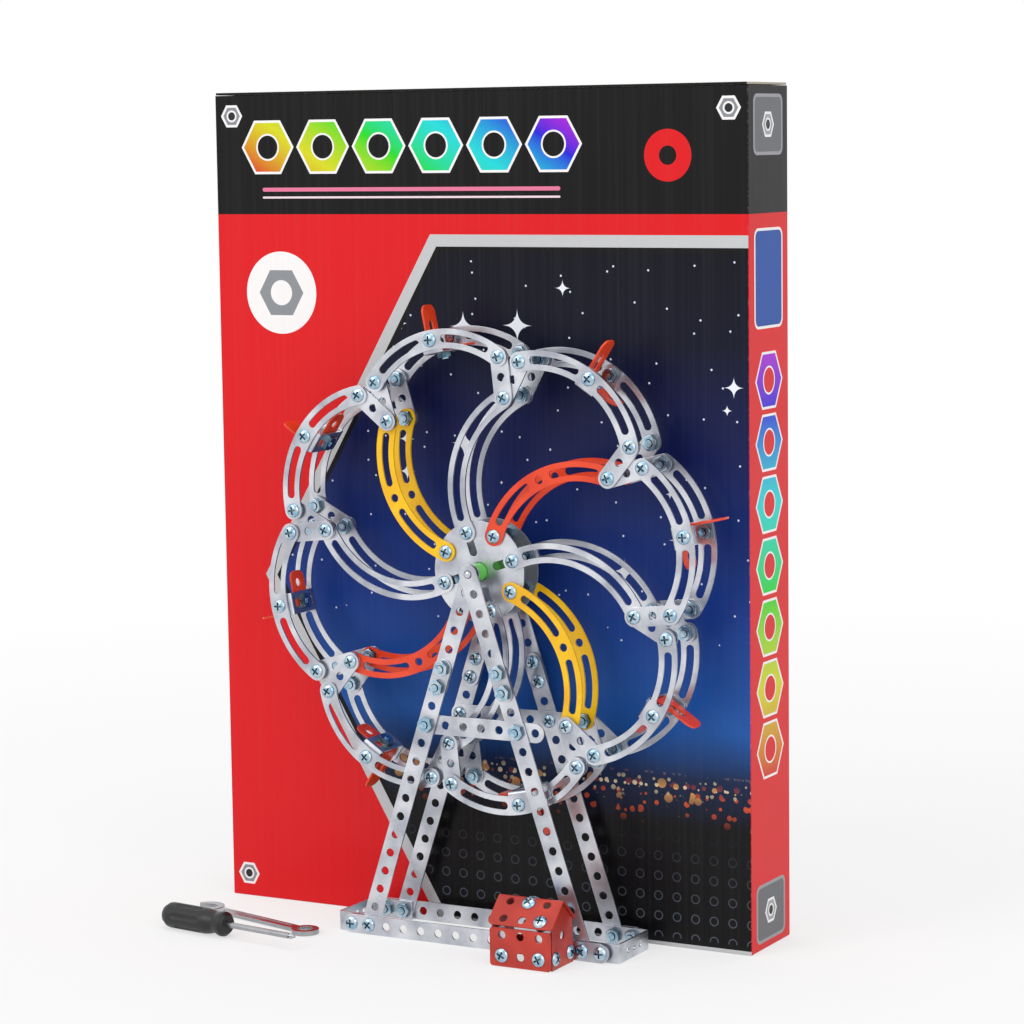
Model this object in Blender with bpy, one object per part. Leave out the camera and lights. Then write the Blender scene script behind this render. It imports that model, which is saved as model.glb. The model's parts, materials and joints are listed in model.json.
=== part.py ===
"""A metal ferris wheel construction set: the wheel built on its stand, its two tools and its carton.

Perforated strips of one pitch are screwed together: curved strips make the arms and the rim, straight
strips make the stand.  The wheel turns on an axle between two A-frames, and the carton has a tuck lid.
A hole that holds a screw is drawn filled by it, and a screw's shank joins the strips of one piece.
Metres, +Z up, the wheel's front towards -Y.  The origin is the middle of the carton's underside.
"""

import math

import bmesh
import bpy
from mathutils import Matrix, Vector

# Perforated stock
HOLE_PITCH = 0.010
HOLE_RADIUS = 0.0021
STRIP_WIDTH = 0.0096
PLATE = 0.0010
SEAT_GAP = 0.0003
SCREW_RADIUS = 0.0019
HEAD_HEIGHT = 0.0017
WELD_SHARE = 0.001
FOLD_MARGIN_SHARE = 0.01
HOLE_SIDES = 6
CAP_STEPS = 3

# Curved strips: quarter rings with a hole at each end, and one in the middle where there are two slots
ARC_RADIUS = 0.050
ARC_SPREAD_DEG = 90.0
ARC_STEPS = 6
SLOT_HALF_WIDTH = 0.0020
SLOT_LAND = 0.0040
SLOT_STEPS = 2

# Wheel
ARM_COUNT = 8
ARM_START_DEG = 18.5
ARM_TWIST_DEG = 29.5
HUB_SCREW_CIRCLE = 0.020
DISC_RADIUS = 0.025
DISC_SIDES = 24
DISC_SLOT_REACH = 0.0100
RIM_DEPTH = 0.0122
LINK_HOLES = 3

# Hub sleeve and axle
SLEEVE_RADIUS = 0.0045
SLEEVE_BORE_RADIUS = 0.0023
AXLE_RADIUS = 0.0018
AXLE_STAND = 0.0010
AXLE_CHAMFER = 0.0005
ROUND_SIDES = 12

# Seats between the two rims
SEAT_BRACKET_LENGTH = 0.0110
SEAT_WEB_DROP = 0.0070
SEAT_FLANGE_RISE = 0.0048
SEAT_CORNER = 0.0020
SEAT_STRIP_WIDTH = 0.0120
SEAT_BACK_TIP = 0.0160
SEAT_FRONT_REACH = 0.0225

# Stand
LEG_UPPER_HOLES = 7
LEG_LOWER_HOLES = 15
LEG_LAP_HOLES = 2
RAIL_HOLES = 15
FOOT_HOLES_FROM_END = 1
BRACE_HOLES = 7
BRACE_LEG_HOLE = 9
WHEEL_SIDE_CLEARANCE = 0.0011
END_WEB_STAND_OFF = 0.0032
END_HOLE_RADIUS = 0.0015
END_HOLE_PITCH = 0.0065

# Ticket booth in front of the rail
BOOTH_WIDTH = 0.0330
BOOTH_DEPTH = 0.0230
BOOTH_WALL_HEIGHT = 0.0215
BOOTH_FRONT_HEIGHT = 0.0190
BOOTH_FOLD_RELIEF = 0.0010
BOOTH_HOLE_HEIGHT = 0.0055
BOOTH_GABLE_TOP_HALF = 0.0020
BOOTH_TAB_WIDTH = 0.0110
BOOTH_RAIL_HOLE = 4
ROOF_SLOPE_DEG = 42.0
ROOF_OVERHANG = 0.0010
ROOF_EAVE = 0.0005
ROOF_CORNER = 0.0015
ROOF_FIRST_HOLE = 0.0035
ROOF_SCREWS = ((0, 0), (1, 1))

# Carton
CARTON_WIDTH = 0.300
CARTON_HEIGHT = 0.420
CARTON_DEPTH = 0.046
CARD = 0.0012
TONGUE_DEPTH = 0.016
TONGUE_LEAN_DEG = 13.0
TONGUE_SIDE_INSET = 0.012
LID_SIDE_INSET = 0.0005

# Tools
SPANNER_REACH = 0.074
SPANNER_THICK = 0.0024
SPANNER_SHANK_HALF_WIDTH = 0.0030
SPANNER_JAW_RADIUS = 0.0085
SPANNER_RING_RADIUS = 0.0070
SPANNER_GRIP = 0.0036
SPANNER_THROAT = 0.0030
SPANNER_JAW_TURN_DEG = 15.0
SPANNER_ARC_STEPS = 5
NUT_SIDES = 6
HANDLE_RADIUS = 0.0065
HANDLE_LENGTH = 0.042
HANDLE_WAIST_RADIUS = 0.0052
HANDLE_GROOVE_SETBACK = 0.008
HANDLE_GROOVE_HALF = 0.004
BLADE_RADIUS = 0.0015
BLADE_LENGTH = 0.044
TIP_LENGTH = 0.0030
TIP_RADIUS = 0.0006

# Where the pieces stand, from the middle of the carton's underside
STAND_ACROSS = 0.020
STAND_CARTON_GAP = 0.006
SPANNER_ACROSS = -0.106
SPANNER_BEFORE = 0.046
SPANNER_TURN_DEG = -15.0
SCREWDRIVER_ACROSS = -0.142
SCREWDRIVER_BEFORE = 0.074
SCREWDRIVER_TURN_DEG = -8.0

# Worked out from the sizes above
LAYER = PLATE + SEAT_GAP
HALF_WIDTH = STRIP_WIDTH / 2
HALF_SPREAD = math.radians(ARC_SPREAD_DEG) / 2
ARC_CHORD = 2 * ARC_RADIUS * math.sin(HALF_SPREAD)
SLOT_LAND_ANGLE = (HOLE_RADIUS + SLOT_LAND + SLOT_HALF_WIDTH) / ARC_RADIUS
ARM_STEP = 2 * math.pi / ARM_COUNT
LINK_LENGTH = HOLE_PITCH * (LINK_HOLES - 1)
LINK_OUTER = RIM_DEPTH - LAYER
LINK_INNER = LINK_OUTER - LAYER
ARM_DEPTH = LINK_INNER - LAYER
DISC_DEPTH = ARM_DEPTH - LAYER
LEG_INNER = RIM_DEPTH + PLATE + HEAD_HEIGHT + WHEEL_SIDE_CLEARANCE
LEG_MIDDLE = LEG_INNER + LAYER
LEG_OUTER = LEG_MIDDLE + LAYER
STAND_HALF_DEPTH = LEG_OUTER + PLATE / 2
RAIL_HALF_LENGTH = HOLE_PITCH * (RAIL_HOLES - 1) / 2
LEG_PITCHES = LEG_UPPER_HOLES + LEG_LOWER_HOLES - LEG_LAP_HOLES - 1
FOOT_PITCHES = (RAIL_HOLES - 1) / 2 - FOOT_HOLES_FROM_END
LEG_LENGTH = LEG_PITCHES * HOLE_PITCH
LEG_LEAN = math.asin(FOOT_PITCHES / LEG_PITCHES)
HUB_HEIGHT = HALF_WIDTH + LEG_LENGTH * math.cos(LEG_LEAN)
ROOF_SLOPE = math.radians(ROOF_SLOPE_DEG)
BOOTH_GABLE_RUN = BOOTH_DEPTH / 2 - BOOTH_FOLD_RELIEF - BOOTH_GABLE_TOP_HALF
BOOTH_GABLE_HEIGHT = BOOTH_WALL_HEIGHT + BOOTH_GABLE_RUN * math.tan(ROOF_SLOPE)
STAND_PLACE = Vector((STAND_ACROSS, -CARTON_DEPTH / 2 - STAND_CARTON_GAP - STAND_HALF_DEPTH, 0.0))
HUB_PLACE = STAND_PLACE + Vector((0.0, 0.0, HUB_HEIGHT))

# Plates are drawn flat, with their front up, and these stand them up facing -Y, or folded towards +Y
STAND_UP = Matrix.Rotation(math.pi / 2, 4, "X")
FOLD_BACK = Matrix.Rotation(math.pi, 4, "Z") @ STAND_UP
QUARTER = math.pi / 2
SMOOTH_BELOW = math.radians(50.0)

SILVER = ("silver_plate", (0.62, 0.63, 0.66), 0.34, 0.85)
YELLOW = ("yellow_paint", (0.90, 0.55, 0.02), 0.35, 0.0)
RED = ("red_paint", (0.80, 0.10, 0.03), 0.35, 0.0)
GREEN = ("green_plastic", (0.10, 0.50, 0.10), 0.30, 0.0)
STEEL = ("zinc_steel", (0.55, 0.62, 0.68), 0.25, 1.0)
CARD_RED = ("printed_card", (0.75, 0.03, 0.03), 0.40, 0.0)
CARD_BLACK = ("black_card", (0.02, 0.02, 0.02), 0.40, 0.0)
TOOL_STEEL = ("tool_steel", (0.50, 0.51, 0.52), 0.30, 1.0)
TOOL_GRIP = ("tool_grip", (0.03, 0.03, 0.03), 0.45, 0.0)
ARM_LOOKS = (SILVER, RED, SILVER, YELLOW)


def clear_scene():
    for obj in list(bpy.data.objects):
        bpy.data.objects.remove(obj, do_unlink=True)


def material(look):
    """The Principled material of that name, made the first time it is asked for."""
    name, colour, roughness, metallic = look
    found = bpy.data.materials.get(name)
    if found:
        return found
    made = bpy.data.materials.new(name)
    made.use_nodes = True
    shader = made.node_tree.nodes["Principled BSDF"]
    shader.inputs["Base Color"].default_value = (*colour, 1.0)
    shader.inputs["Roughness"].default_value = roughness
    shader.inputs["Metallic"].default_value = metallic
    return made


def place(name, mesh, look, parent, location=(0.0, 0.0, 0.0), turn=0.0):
    """A node: the mesh under its parent empty, turned about the wheel's axis."""
    obj = bpy.data.objects.new(name, mesh)
    bpy.context.scene.collection.objects.link(obj)
    if not mesh.materials:
        mesh.materials.append(material(look))
        mesh.shade_smooth()
        mesh.set_sharp_from_angle(angle=SMOOTH_BELOW)
    obj.parent = parent
    obj.location = location
    obj.rotation_euler = (0.0, turn, 0.0)
    return obj


def empty(name, location):
    obj = bpy.data.objects.new(name, None)
    bpy.context.scene.collection.objects.link(obj)
    obj.location = location
    return obj


# Outlines, as loops of flat points

def circle(centre, radius, sides):
    return [
        (centre[0] + radius * math.cos(2 * math.pi * i / sides),
         centre[1] + radius * math.sin(2 * math.pi * i / sides))
        for i in range(sides)
    ]


def round_end(centre, radius, towards):
    """A half circle of points about the centre, anticlockwise, bulging towards an angle."""
    return [
        (centre[0] + radius * math.cos(towards - math.pi / 2 + math.pi * i / CAP_STEPS),
         centre[1] + radius * math.sin(towards - math.pi / 2 + math.pi * i / CAP_STEPS))
        for i in range(CAP_STEPS + 1)
    ]


def straight_band(start, end, half_width):
    angle = math.atan2(end[1] - start[1], end[0] - start[0])
    return round_end(end, half_width, angle) + round_end(start, half_width, angle + math.pi)


def curved_band(centre, radius, first, last, half_width, steps):
    """A band along an arc from one angle to a larger one, with round ends."""
    inner = []
    for i in range(1, steps):
        angle = last + (first - last) * i / steps
        inner.append((centre[0] + (radius - half_width) * math.cos(angle),
                      centre[1] + (radius - half_width) * math.sin(angle)))
    outer = []
    for i in range(1, steps):
        angle = first + (last - first) * i / steps
        outer.append((centre[0] + (radius + half_width) * math.cos(angle),
                      centre[1] + (radius + half_width) * math.sin(angle)))
    far = (centre[0] + radius * math.cos(last), centre[1] + radius * math.sin(last))
    near = (centre[0] + radius * math.cos(first), centre[1] + radius * math.sin(first))
    return (round_end(far, half_width, last + math.pi / 2) + inner
            + round_end(near, half_width, first - math.pi / 2) + outer)


def arc(centre, radius, first, last, steps):
    angles = [first + (last - first) * i / steps for i in range(steps + 1)]
    return [(centre[0] + radius * math.cos(a), centre[1] + radius * math.sin(a)) for a in angles]


def chamfered(left, bottom, right, top, corner):
    """A rectangle with its corners cut off."""
    return [(left + corner, bottom), (right - corner, bottom), (right, bottom + corner), (right, top - corner),
            (right - corner, top), (left + corner, top), (left, top - corner), (left, bottom + corner)]


def hole_row(start, end, count, screwed):
    return [circle(along(start, end, i / (count - 1)), HOLE_RADIUS, HOLE_SIDES)
            for i in range(count) if i not in screwed]


def polar(radius, angle):
    return (radius * math.cos(angle), radius * math.sin(angle))


def along(start, end, share):
    return (start[0] + (end[0] - start[0]) * share, start[1] + (end[1] - start[1]) * share)


# Solids

def plate_mesh(name, loops, thickness, depth=0.0, upright=True):
    """A flat plate from an outline and its holes. depth is how far its middle stands to the front."""
    curve = bpy.data.curves.new(name, "CURVE")
    curve.dimensions = "2D"
    curve.fill_mode = "BOTH"
    curve.extrude = thickness / 2
    for loop in loops:
        spline = curve.splines.new("POLY")
        spline.points.add(len(loop) - 1)
        for point, (u, v) in zip(spline.points, loop):
            point.co = (u, v, 0.0, 1.0)
        spline.use_cyclic_u = True
    helper = bpy.data.objects.new(name, curve)
    bpy.context.scene.collection.objects.link(helper)
    bpy.context.view_layer.update()
    mesh = bpy.data.meshes.new_from_object(helper.evaluated_get(bpy.context.evaluated_depsgraph_get()))
    bpy.data.objects.remove(helper, do_unlink=True)
    mesh.transform(Matrix.Translation((0.0, 0.0, depth)))
    if upright:
        mesh.transform(STAND_UP)
    return welded(mesh, thickness)


def welded(mesh, size):
    """The mesh with doubled corners made one and its faces pointing out."""
    work = bmesh.new()
    work.from_mesh(mesh)
    bmesh.ops.remove_doubles(work, verts=work.verts, dist=size * WELD_SHARE)
    bmesh.ops.recalc_face_normals(work, faces=work.faces)
    work.to_mesh(mesh)
    work.free()
    return mesh


def folded(mesh, line, angle, beyond):
    """The sheet, lying flat, with all that lies beyond a line across it folded up about its upper face."""
    work = bmesh.new()
    work.from_mesh(mesh)
    upper = PLATE / 2
    near = PLATE * FOLD_MARGIN_SHARE
    bmesh.ops.bisect_plane(work, geom=work.verts[:] + work.edges[:] + work.faces[:], dist=near,
                           plane_co=(line, 0.0, 0.0), plane_no=(1.0, 0.0, 0.0))
    for vert in work.verts:
        past = (vert.co.x - line) * beyond
        depth = vert.co.z - upper
        if past < -near:
            continue
        turn = angle
        if past <= near:
            past = 0.0
            turn = angle / 2
            depth /= math.cos(turn)
        vert.co.x = line + beyond * (past * math.cos(turn) - depth * math.sin(turn))
        vert.co.z = upper + past * math.sin(turn) + depth * math.cos(turn)
    bmesh.ops.recalc_face_normals(work, faces=work.faces)
    work.to_mesh(mesh)
    work.free()
    return mesh


def turned_mesh(name, profile, sides, closed_ring=False):
    """A solid turned about its own Z from (radius, height) points, bottom to top up its outside."""
    work = bmesh.new()
    rings = []
    for radius, height in profile:
        rings.append([work.verts.new((*point, height)) for point in circle((0.0, 0.0), radius, sides)])
    pairs = list(zip(rings, rings[1:]))
    if closed_ring:
        pairs.append((rings[-1], rings[0]))
    for lower, upper in pairs:
        for i in range(sides):
            j = (i + 1) % sides
            work.faces.new((lower[i], lower[j], upper[j], upper[i]))
    if not closed_ring:
        work.faces.new(list(reversed(rings[0])))
        work.faces.new(rings[-1])
    mesh = bpy.data.meshes.new(name)
    bmesh.ops.recalc_face_normals(work, faces=work.faces)
    work.to_mesh(mesh)
    work.free()
    return mesh


def shank_mesh(name, centre, low, high):
    """A screw's shank through a flat point, between the middles of the two sheets that it clamps."""
    mesh = turned_mesh(name, [(SCREW_RADIUS, low), (SCREW_RADIUS, high)], HOLE_SIDES)
    mesh.transform(STAND_UP @ Matrix.Translation((centre[0], centre[1], 0.0)))
    return mesh


def box_mesh(name, low, high):
    work = bmesh.new()
    bmesh.ops.create_cube(work, size=1.0)
    size = Vector(high) - Vector(low)
    middle = (Vector(high) + Vector(low)) / 2
    bmesh.ops.scale(work, vec=size, verts=work.verts)
    bmesh.ops.translate(work, vec=middle, verts=work.verts)
    mesh = bpy.data.meshes.new(name)
    work.to_mesh(mesh)
    work.free()
    return mesh


def combined(name, base, others, operation="UNION"):
    """The base mesh with the others joined to it, or cut from it, one after another."""
    subject = bpy.data.objects.new(name, base)
    bpy.context.scene.collection.objects.link(subject)
    helpers = [subject]
    for other in others:
        helper = bpy.data.objects.new(name, other)
        bpy.context.scene.collection.objects.link(helper)
        helpers.append(helper)
        modifier = subject.modifiers.new(operation, "BOOLEAN")
        modifier.operation = operation
        modifier.solver = "EXACT"
        modifier.object = helper
    bpy.context.view_layer.update()
    mesh = bpy.data.meshes.new_from_object(subject.evaluated_get(bpy.context.evaluated_depsgraph_get()))
    mesh.name = name
    for helper in helpers:
        bpy.data.objects.remove(helper, do_unlink=True)
    return mesh


def mirrored(mesh):
    """The same piece for the rear: front and back exchanged."""
    copy = mesh.copy()
    copy.transform(Matrix.Scale(-1.0, 4, (0.0, 1.0, 0.0)))
    copy.flip_normals()
    return copy


# The wheel's geometry

def arm_ends():
    """Where the first arm is screwed: on the hub disc, and where the links meet it."""
    start = math.radians(ARM_START_DEG)
    twist = math.radians(ARM_TWIST_DEG)
    across = HUB_SCREW_CIRCLE * math.sin(twist)
    reach = HUB_SCREW_CIRCLE * math.cos(twist) + math.sqrt(ARC_CHORD ** 2 - across ** 2)
    return polar(HUB_SCREW_CIRCLE, start), polar(reach, start - twist), reach


def rim_half_angle(arm_reach):
    """Half the angle between a rim strip's ends, so that the links just reach from them to the arms."""
    low = ARM_STEP / 4
    high = ARM_STEP / 2
    for _ in range(60):
        half = (low + high) / 2
        rim_radius = ARC_CHORD / 2 / math.sin(half)
        beside = ARM_STEP / 2 - half
        gap = math.hypot(rim_radius * math.cos(beside) - arm_reach, rim_radius * math.sin(beside))
        if gap > LINK_LENGTH:
            low = half
        else:
            high = half
    return half


ARM_FOOT, ARM_TIP, ARM_REACH = arm_ends()
TIP_ANGLE = math.atan2(ARM_TIP[1], ARM_TIP[0])
RIM_HALF = rim_half_angle(ARM_REACH)
RIM_RADIUS = ARC_CHORD / 2 / math.sin(RIM_HALF)
RIM_CENTRE_REACH = RIM_RADIUS * math.cos(RIM_HALF) - ARC_RADIUS * math.cos(HALF_SPREAD)
SEAT_SCREW_REACH = RIM_CENTRE_REACH + ARC_RADIUS
RIM_MIDDLE = TIP_ANGLE + ARM_STEP / 2


def arc_point(centre, angle):
    return (centre[0] + ARC_RADIUS * math.cos(angle), centre[1] + ARC_RADIUS * math.sin(angle))


def curved_strip_loops(centre, facing, single_slot, middle_open):
    """A curved strip's outline and openings: one long slot, or two with a hole between them."""
    loops = [curved_band(centre, ARC_RADIUS, facing - HALF_SPREAD, facing + HALF_SPREAD,
                         HALF_WIDTH, ARC_STEPS)]
    far = HALF_SPREAD - SLOT_LAND_ANGLE
    spans = [(facing - far, facing + far)]
    if not single_slot:
        spans = [(facing - far, facing - SLOT_LAND_ANGLE), (facing + SLOT_LAND_ANGLE, facing + far)]
    steps = SLOT_STEPS * 2 // len(spans)
    loops += [curved_band(centre, ARC_RADIUS, a, b, SLOT_HALF_WIDTH, steps) for a, b in spans]
    if middle_open:
        loops.append(circle(arc_point(centre, facing), HOLE_RADIUS, HOLE_SIDES))
    return loops


def arm_mesh(name, single_slot):
    """One curved arm from the hub disc out to the links, bulging anticlockwise."""
    chord = Vector((ARM_TIP[0] - ARM_FOOT[0], ARM_TIP[1] - ARM_FOOT[1]))
    bulge = Vector((-chord.y, chord.x)).normalized()
    middle = (Vector(ARM_FOOT) + Vector(ARM_TIP)) / 2
    centre = middle - bulge * ARC_RADIUS * math.cos(HALF_SPREAD)
    loops = curved_strip_loops(centre, math.atan2(bulge.y, bulge.x), single_slot, not single_slot)
    return plate_mesh(name, loops, PLATE, ARM_DEPTH)


def link_mesh(name, rim_end, arm_end, depth):
    """A short strip from a rim strip's end to an arm's."""
    loops = [straight_band(rim_end, arm_end, HALF_WIDTH)]
    loops += hole_row(rim_end, arm_end, LINK_HOLES, (0, LINK_HOLES - 1))
    return plate_mesh(name, loops, PLATE, depth)


def rim_mesh(name):
    """One rim strip, the link behind each of its ends, and the two screws that clamp them."""
    strip = plate_mesh(name, curved_strip_loops(polar(RIM_CENTRE_REACH, RIM_MIDDLE), RIM_MIDDLE,
                                                False, False), PLATE, RIM_DEPTH)
    first_end = polar(RIM_RADIUS, RIM_MIDDLE - RIM_HALF)
    last_end = polar(RIM_RADIUS, RIM_MIDDLE + RIM_HALF)
    next_tip = polar(ARM_REACH, TIP_ANGLE + ARM_STEP)
    return combined(name, strip, [
        link_mesh(name, first_end, ARM_TIP, LINK_OUTER),
        link_mesh(name, last_end, next_tip, LINK_INNER),
        shank_mesh(name, first_end, LINK_OUTER, RIM_DEPTH),
        shank_mesh(name, last_end, LINK_INNER, RIM_DEPTH),
    ])


def disc_mesh(name):
    """The hub disc: a bore for the sleeve, and a slot inwards from the screw of each plain arm."""
    loops = [circle((0.0, 0.0), DISC_RADIUS, DISC_SIDES)]
    loops.append(circle((0.0, 0.0), SLEEVE_RADIUS + SEAT_GAP, ROUND_SIDES))
    for i in range(ARM_COUNT):
        angle = math.radians(ARM_START_DEG) + i * ARM_STEP
        screw = polar(HUB_SCREW_CIRCLE, angle)
        if ARM_LOOKS[i % len(ARM_LOOKS)] is SILVER:
            loops.append(straight_band(polar(DISC_SLOT_REACH, angle), screw, HOLE_RADIUS))
    return plate_mesh(name, loops, PLATE, DISC_DEPTH)


def sleeve_mesh(name):
    """The plastic tube on the axle, from one A-frame to the other, that both discs grip."""
    half = LEG_INNER - PLATE / 2 - SEAT_GAP
    profile = [(SLEEVE_RADIUS, -half), (SLEEVE_RADIUS, half),
               (SLEEVE_BORE_RADIUS, half), (SLEEVE_BORE_RADIUS, -half)]
    mesh = turned_mesh(name, profile, ROUND_SIDES, True)
    mesh.transform(STAND_UP)
    return mesh


def seat_bracket_mesh(name, web_low):
    """The U bracket between the two rims, folded up from a flat blank with its corners cut."""
    inner = LINK_OUTER - PLATE / 2
    reach = inner + SEAT_SCREW_REACH - web_low - PLATE + SEAT_FLANGE_RISE
    half = SEAT_BRACKET_LENGTH / 2
    bracket = plate_mesh(name, [chamfered(-reach, -half, reach, half, SEAT_CORNER)], PLATE, upright=False)
    for beyond in (-1, 1):
        folded(bracket, beyond * inner, QUARTER, beyond)
    bracket.transform(Matrix.Translation((0.0, 0.0, web_low + PLATE / 2))
                      @ Matrix.Rotation(-QUARTER, 4, "Z"))
    return bracket


def seat_mesh(name):
    """A passenger seat at the top of the wheel: its bracket, a strip bent to a seat and back, a screw."""
    web_low = SEAT_SCREW_REACH - SEAT_WEB_DROP
    bracket = seat_bracket_mesh(name, web_low)
    strip_low = web_low + LAYER
    bend = -SEAT_BRACKET_LENGTH / 2 + PLATE
    round_radius = SEAT_STRIP_WIDTH / 2
    start = (bend - SEAT_FRONT_REACH + round_radius, 0.0)
    end = (SEAT_BACK_TIP - round_radius, 0.0)
    strip = plate_mesh(name, [straight_band(start, end, round_radius)], PLATE, upright=False)
    folded(strip, bend, QUARTER, -1)
    strip.transform(Matrix.Translation((0.0, 0.0, strip_low + PLATE / 2)))
    screw = turned_mesh(name, [(SCREW_RADIUS, web_low + PLATE / 2),
                               (SCREW_RADIUS, strip_low + PLATE / 2)], HOLE_SIDES)
    return combined(name, bracket, [strip, screw])


# The stand

def strip_mesh(name, start, end, count, depth, screwed):
    """A straight perforated strip between the centres of its end holes, some of them screwed."""
    loops = [straight_band(start, end, HALF_WIDTH)] + hole_row(start, end, count, screwed)
    return plate_mesh(name, loops, PLATE, depth)


def leg_point(side, pitches):
    """A point on a leg's line, that many pitches down from the axle."""
    reach = pitches * HOLE_PITCH
    return (side * reach * math.sin(LEG_LEAN), HUB_HEIGHT - reach * math.cos(LEG_LEAN))


def leg_mesh(name, side):
    """One leg: a short strip with the axle's hole, lapped two holes over a long one and screwed to it."""
    upper_depth = LEG_INNER if side < 0 else LEG_OUTER
    lap_start = LEG_UPPER_HOLES - LEG_LAP_HOLES
    lap = range(lap_start, LEG_UPPER_HOLES)
    top = leg_point(side, 0)
    upper_loops = [straight_band(top, leg_point(side, LEG_UPPER_HOLES - 1), HALF_WIDTH),
                   circle(top, HOLE_RADIUS, ROUND_SIDES)]
    upper_loops += [circle(leg_point(side, i), HOLE_RADIUS, HOLE_SIDES) for i in range(1, lap_start)]
    upper = plate_mesh(name, upper_loops, PLATE, upper_depth)
    screwed = [i - lap_start for i in (*lap, BRACE_LEG_HOLE - 1, LEG_PITCHES)]
    lower = strip_mesh(name, leg_point(side, lap_start), leg_point(side, LEG_PITCHES),
                       LEG_LOWER_HOLES, LEG_MIDDLE, screwed)
    low, high = sorted((upper_depth, LEG_MIDDLE))
    shanks = [shank_mesh(name, leg_point(side, i), low, high) for i in lap]
    return combined(name, upper, [lower] + shanks)


def end_bracket_mesh(name, side):
    """The U bracket that closes one end of the base, folded up from a flat perforated blank."""
    inner = LEG_INNER - PLATE / 2
    reach = inner + END_WEB_STAND_OFF + STRIP_WIDTH + HOLE_PITCH
    blank = [[(-reach, 0.0), (reach, 0.0), (reach, STRIP_WIDTH), (-reach, STRIP_WIDTH)]]
    blank += [circle((END_HOLE_PITCH * i, HALF_WIDTH), END_HOLE_RADIUS, HOLE_SIDES) for i in (-1, 0, 1)]
    mesh = plate_mesh(name, blank, PLATE, upright=False)
    for beyond in (-1, 1):
        folded(mesh, beyond * inner, QUARTER, beyond)
    web_middle = RAIL_HALF_LENGTH + HALF_WIDTH + END_WEB_STAND_OFF + PLATE / 2
    mesh.transform(Matrix.Translation((web_middle, 0.0, 0.0)) @ Matrix.Rotation(-QUARTER, 4, "Z") @ STAND_UP)
    if side < 0:
        mesh.transform(Matrix.Rotation(math.pi, 4, "Z"))
    return mesh


def brace_mesh(name):
    """The level strip inside the A-frame, its last holes standing free past the right leg."""
    left, height = leg_point(-1, BRACE_LEG_HOLE - 1)
    end = (left + HOLE_PITCH * (BRACE_HOLES - 1), height)
    return strip_mesh(name, (left, height), end, BRACE_HOLES, LEG_INNER,
                      (0, round(-2 * left / HOLE_PITCH)))


def axle_mesh(name):
    """The rod through both A-frames that carries the wheel, its chamfered ends standing proud."""
    tip = LEG_OUTER + PLATE / 2 + AXLE_STAND
    profile = [(AXLE_RADIUS - AXLE_CHAMFER, -tip), (AXLE_RADIUS, AXLE_CHAMFER - tip),
               (AXLE_RADIUS, tip - AXLE_CHAMFER), (AXLE_RADIUS - AXLE_CHAMFER, tip)]
    mesh = turned_mesh(name, profile, ROUND_SIDES)
    mesh.transform(STAND_UP)
    return mesh


# The ticket booth

def booth_walls_mesh(name):
    """Front, gabled sides and fixing tabs, folded from one perforated sheet, the front wall on y = 0."""
    front = BOOTH_WIDTH / 2 - PLATE
    back = front + BOOTH_DEPTH
    ridge = (front + back) / 2
    tab = back + BOOTH_TAB_WIDTH
    rear_edge = back - BOOTH_FOLD_RELIEF
    front_edge = front + BOOTH_FOLD_RELIEF
    half_outline = [
        (tab, 0.0), (tab, STRIP_WIDTH), (rear_edge, STRIP_WIDTH), (rear_edge, BOOTH_WALL_HEIGHT),
        (ridge + BOOTH_GABLE_TOP_HALF, BOOTH_GABLE_HEIGHT), (ridge - BOOTH_GABLE_TOP_HALF, BOOTH_GABLE_HEIGHT),
        (front_edge, BOOTH_WALL_HEIGHT), (front_edge, BOOTH_FRONT_HEIGHT),
    ]
    outline = half_outline + [(-u, v) for u, v in reversed(half_outline)]
    upper_row = BOOTH_HOLE_HEIGHT + HOLE_PITCH
    spots = [(column * HOLE_PITCH, upper_row) for column in (-1, 0, 1)]
    spots += [(side * ridge, upper_row) for side in (-1, 1)] + [(0.0, BOOTH_HOLE_HEIGHT)]
    loops = [outline] + [circle(spot, HOLE_RADIUS, HOLE_SIDES) for spot in spots]
    sheet = plate_mesh(name, loops, PLATE, upright=False)
    for line in (back, front):
        for beyond in (-1, 1):
            folded(sheet, beyond * line, QUARTER, beyond)
    sheet.transform(FOLD_BACK @ Matrix.Translation((0.0, 0.0, PLATE / 2)))
    return sheet


def booth_roof_mesh(name):
    """The roof: one perforated sheet folded at the ridge over the gables."""
    slope_length = (BOOTH_DEPTH / 2 + PLATE) / math.cos(ROOF_SLOPE) + ROOF_EAVE
    half_length = BOOTH_WIDTH / 2 + ROOF_OVERHANG
    loops = [chamfered(-slope_length, -half_length, slope_length, half_length, ROOF_CORNER)]
    loops += [circle((side * (ROOF_FIRST_HOLE + row * HOLE_PITCH), column * HOLE_PITCH),
                     HOLE_RADIUS, HOLE_SIDES)
              for side in (-1, 1) for row in (0, 1) for column in (-1, 0, 1)
              if (row, column) not in ROOF_SCREWS]
    sheet = plate_mesh(name, loops, PLATE, upright=False)
    folded(sheet, 0.0, 2 * ROOF_SLOPE, 1)
    crest = (BOOTH_GABLE_HEIGHT + BOOTH_GABLE_TOP_HALF * math.tan(ROOF_SLOPE)
             + SEAT_GAP / math.cos(ROOF_SLOPE))
    sheet.transform(Matrix.Translation((0.0, PLATE + BOOTH_DEPTH / 2, crest)) @ Matrix.Rotation(QUARTER, 4, "Z")
                    @ Matrix.Rotation(ROOF_SLOPE + math.pi, 4, "Y")
                    @ Matrix.Translation((0.0, 0.0, -PLATE / 2)))
    return sheet


# The carton

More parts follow.
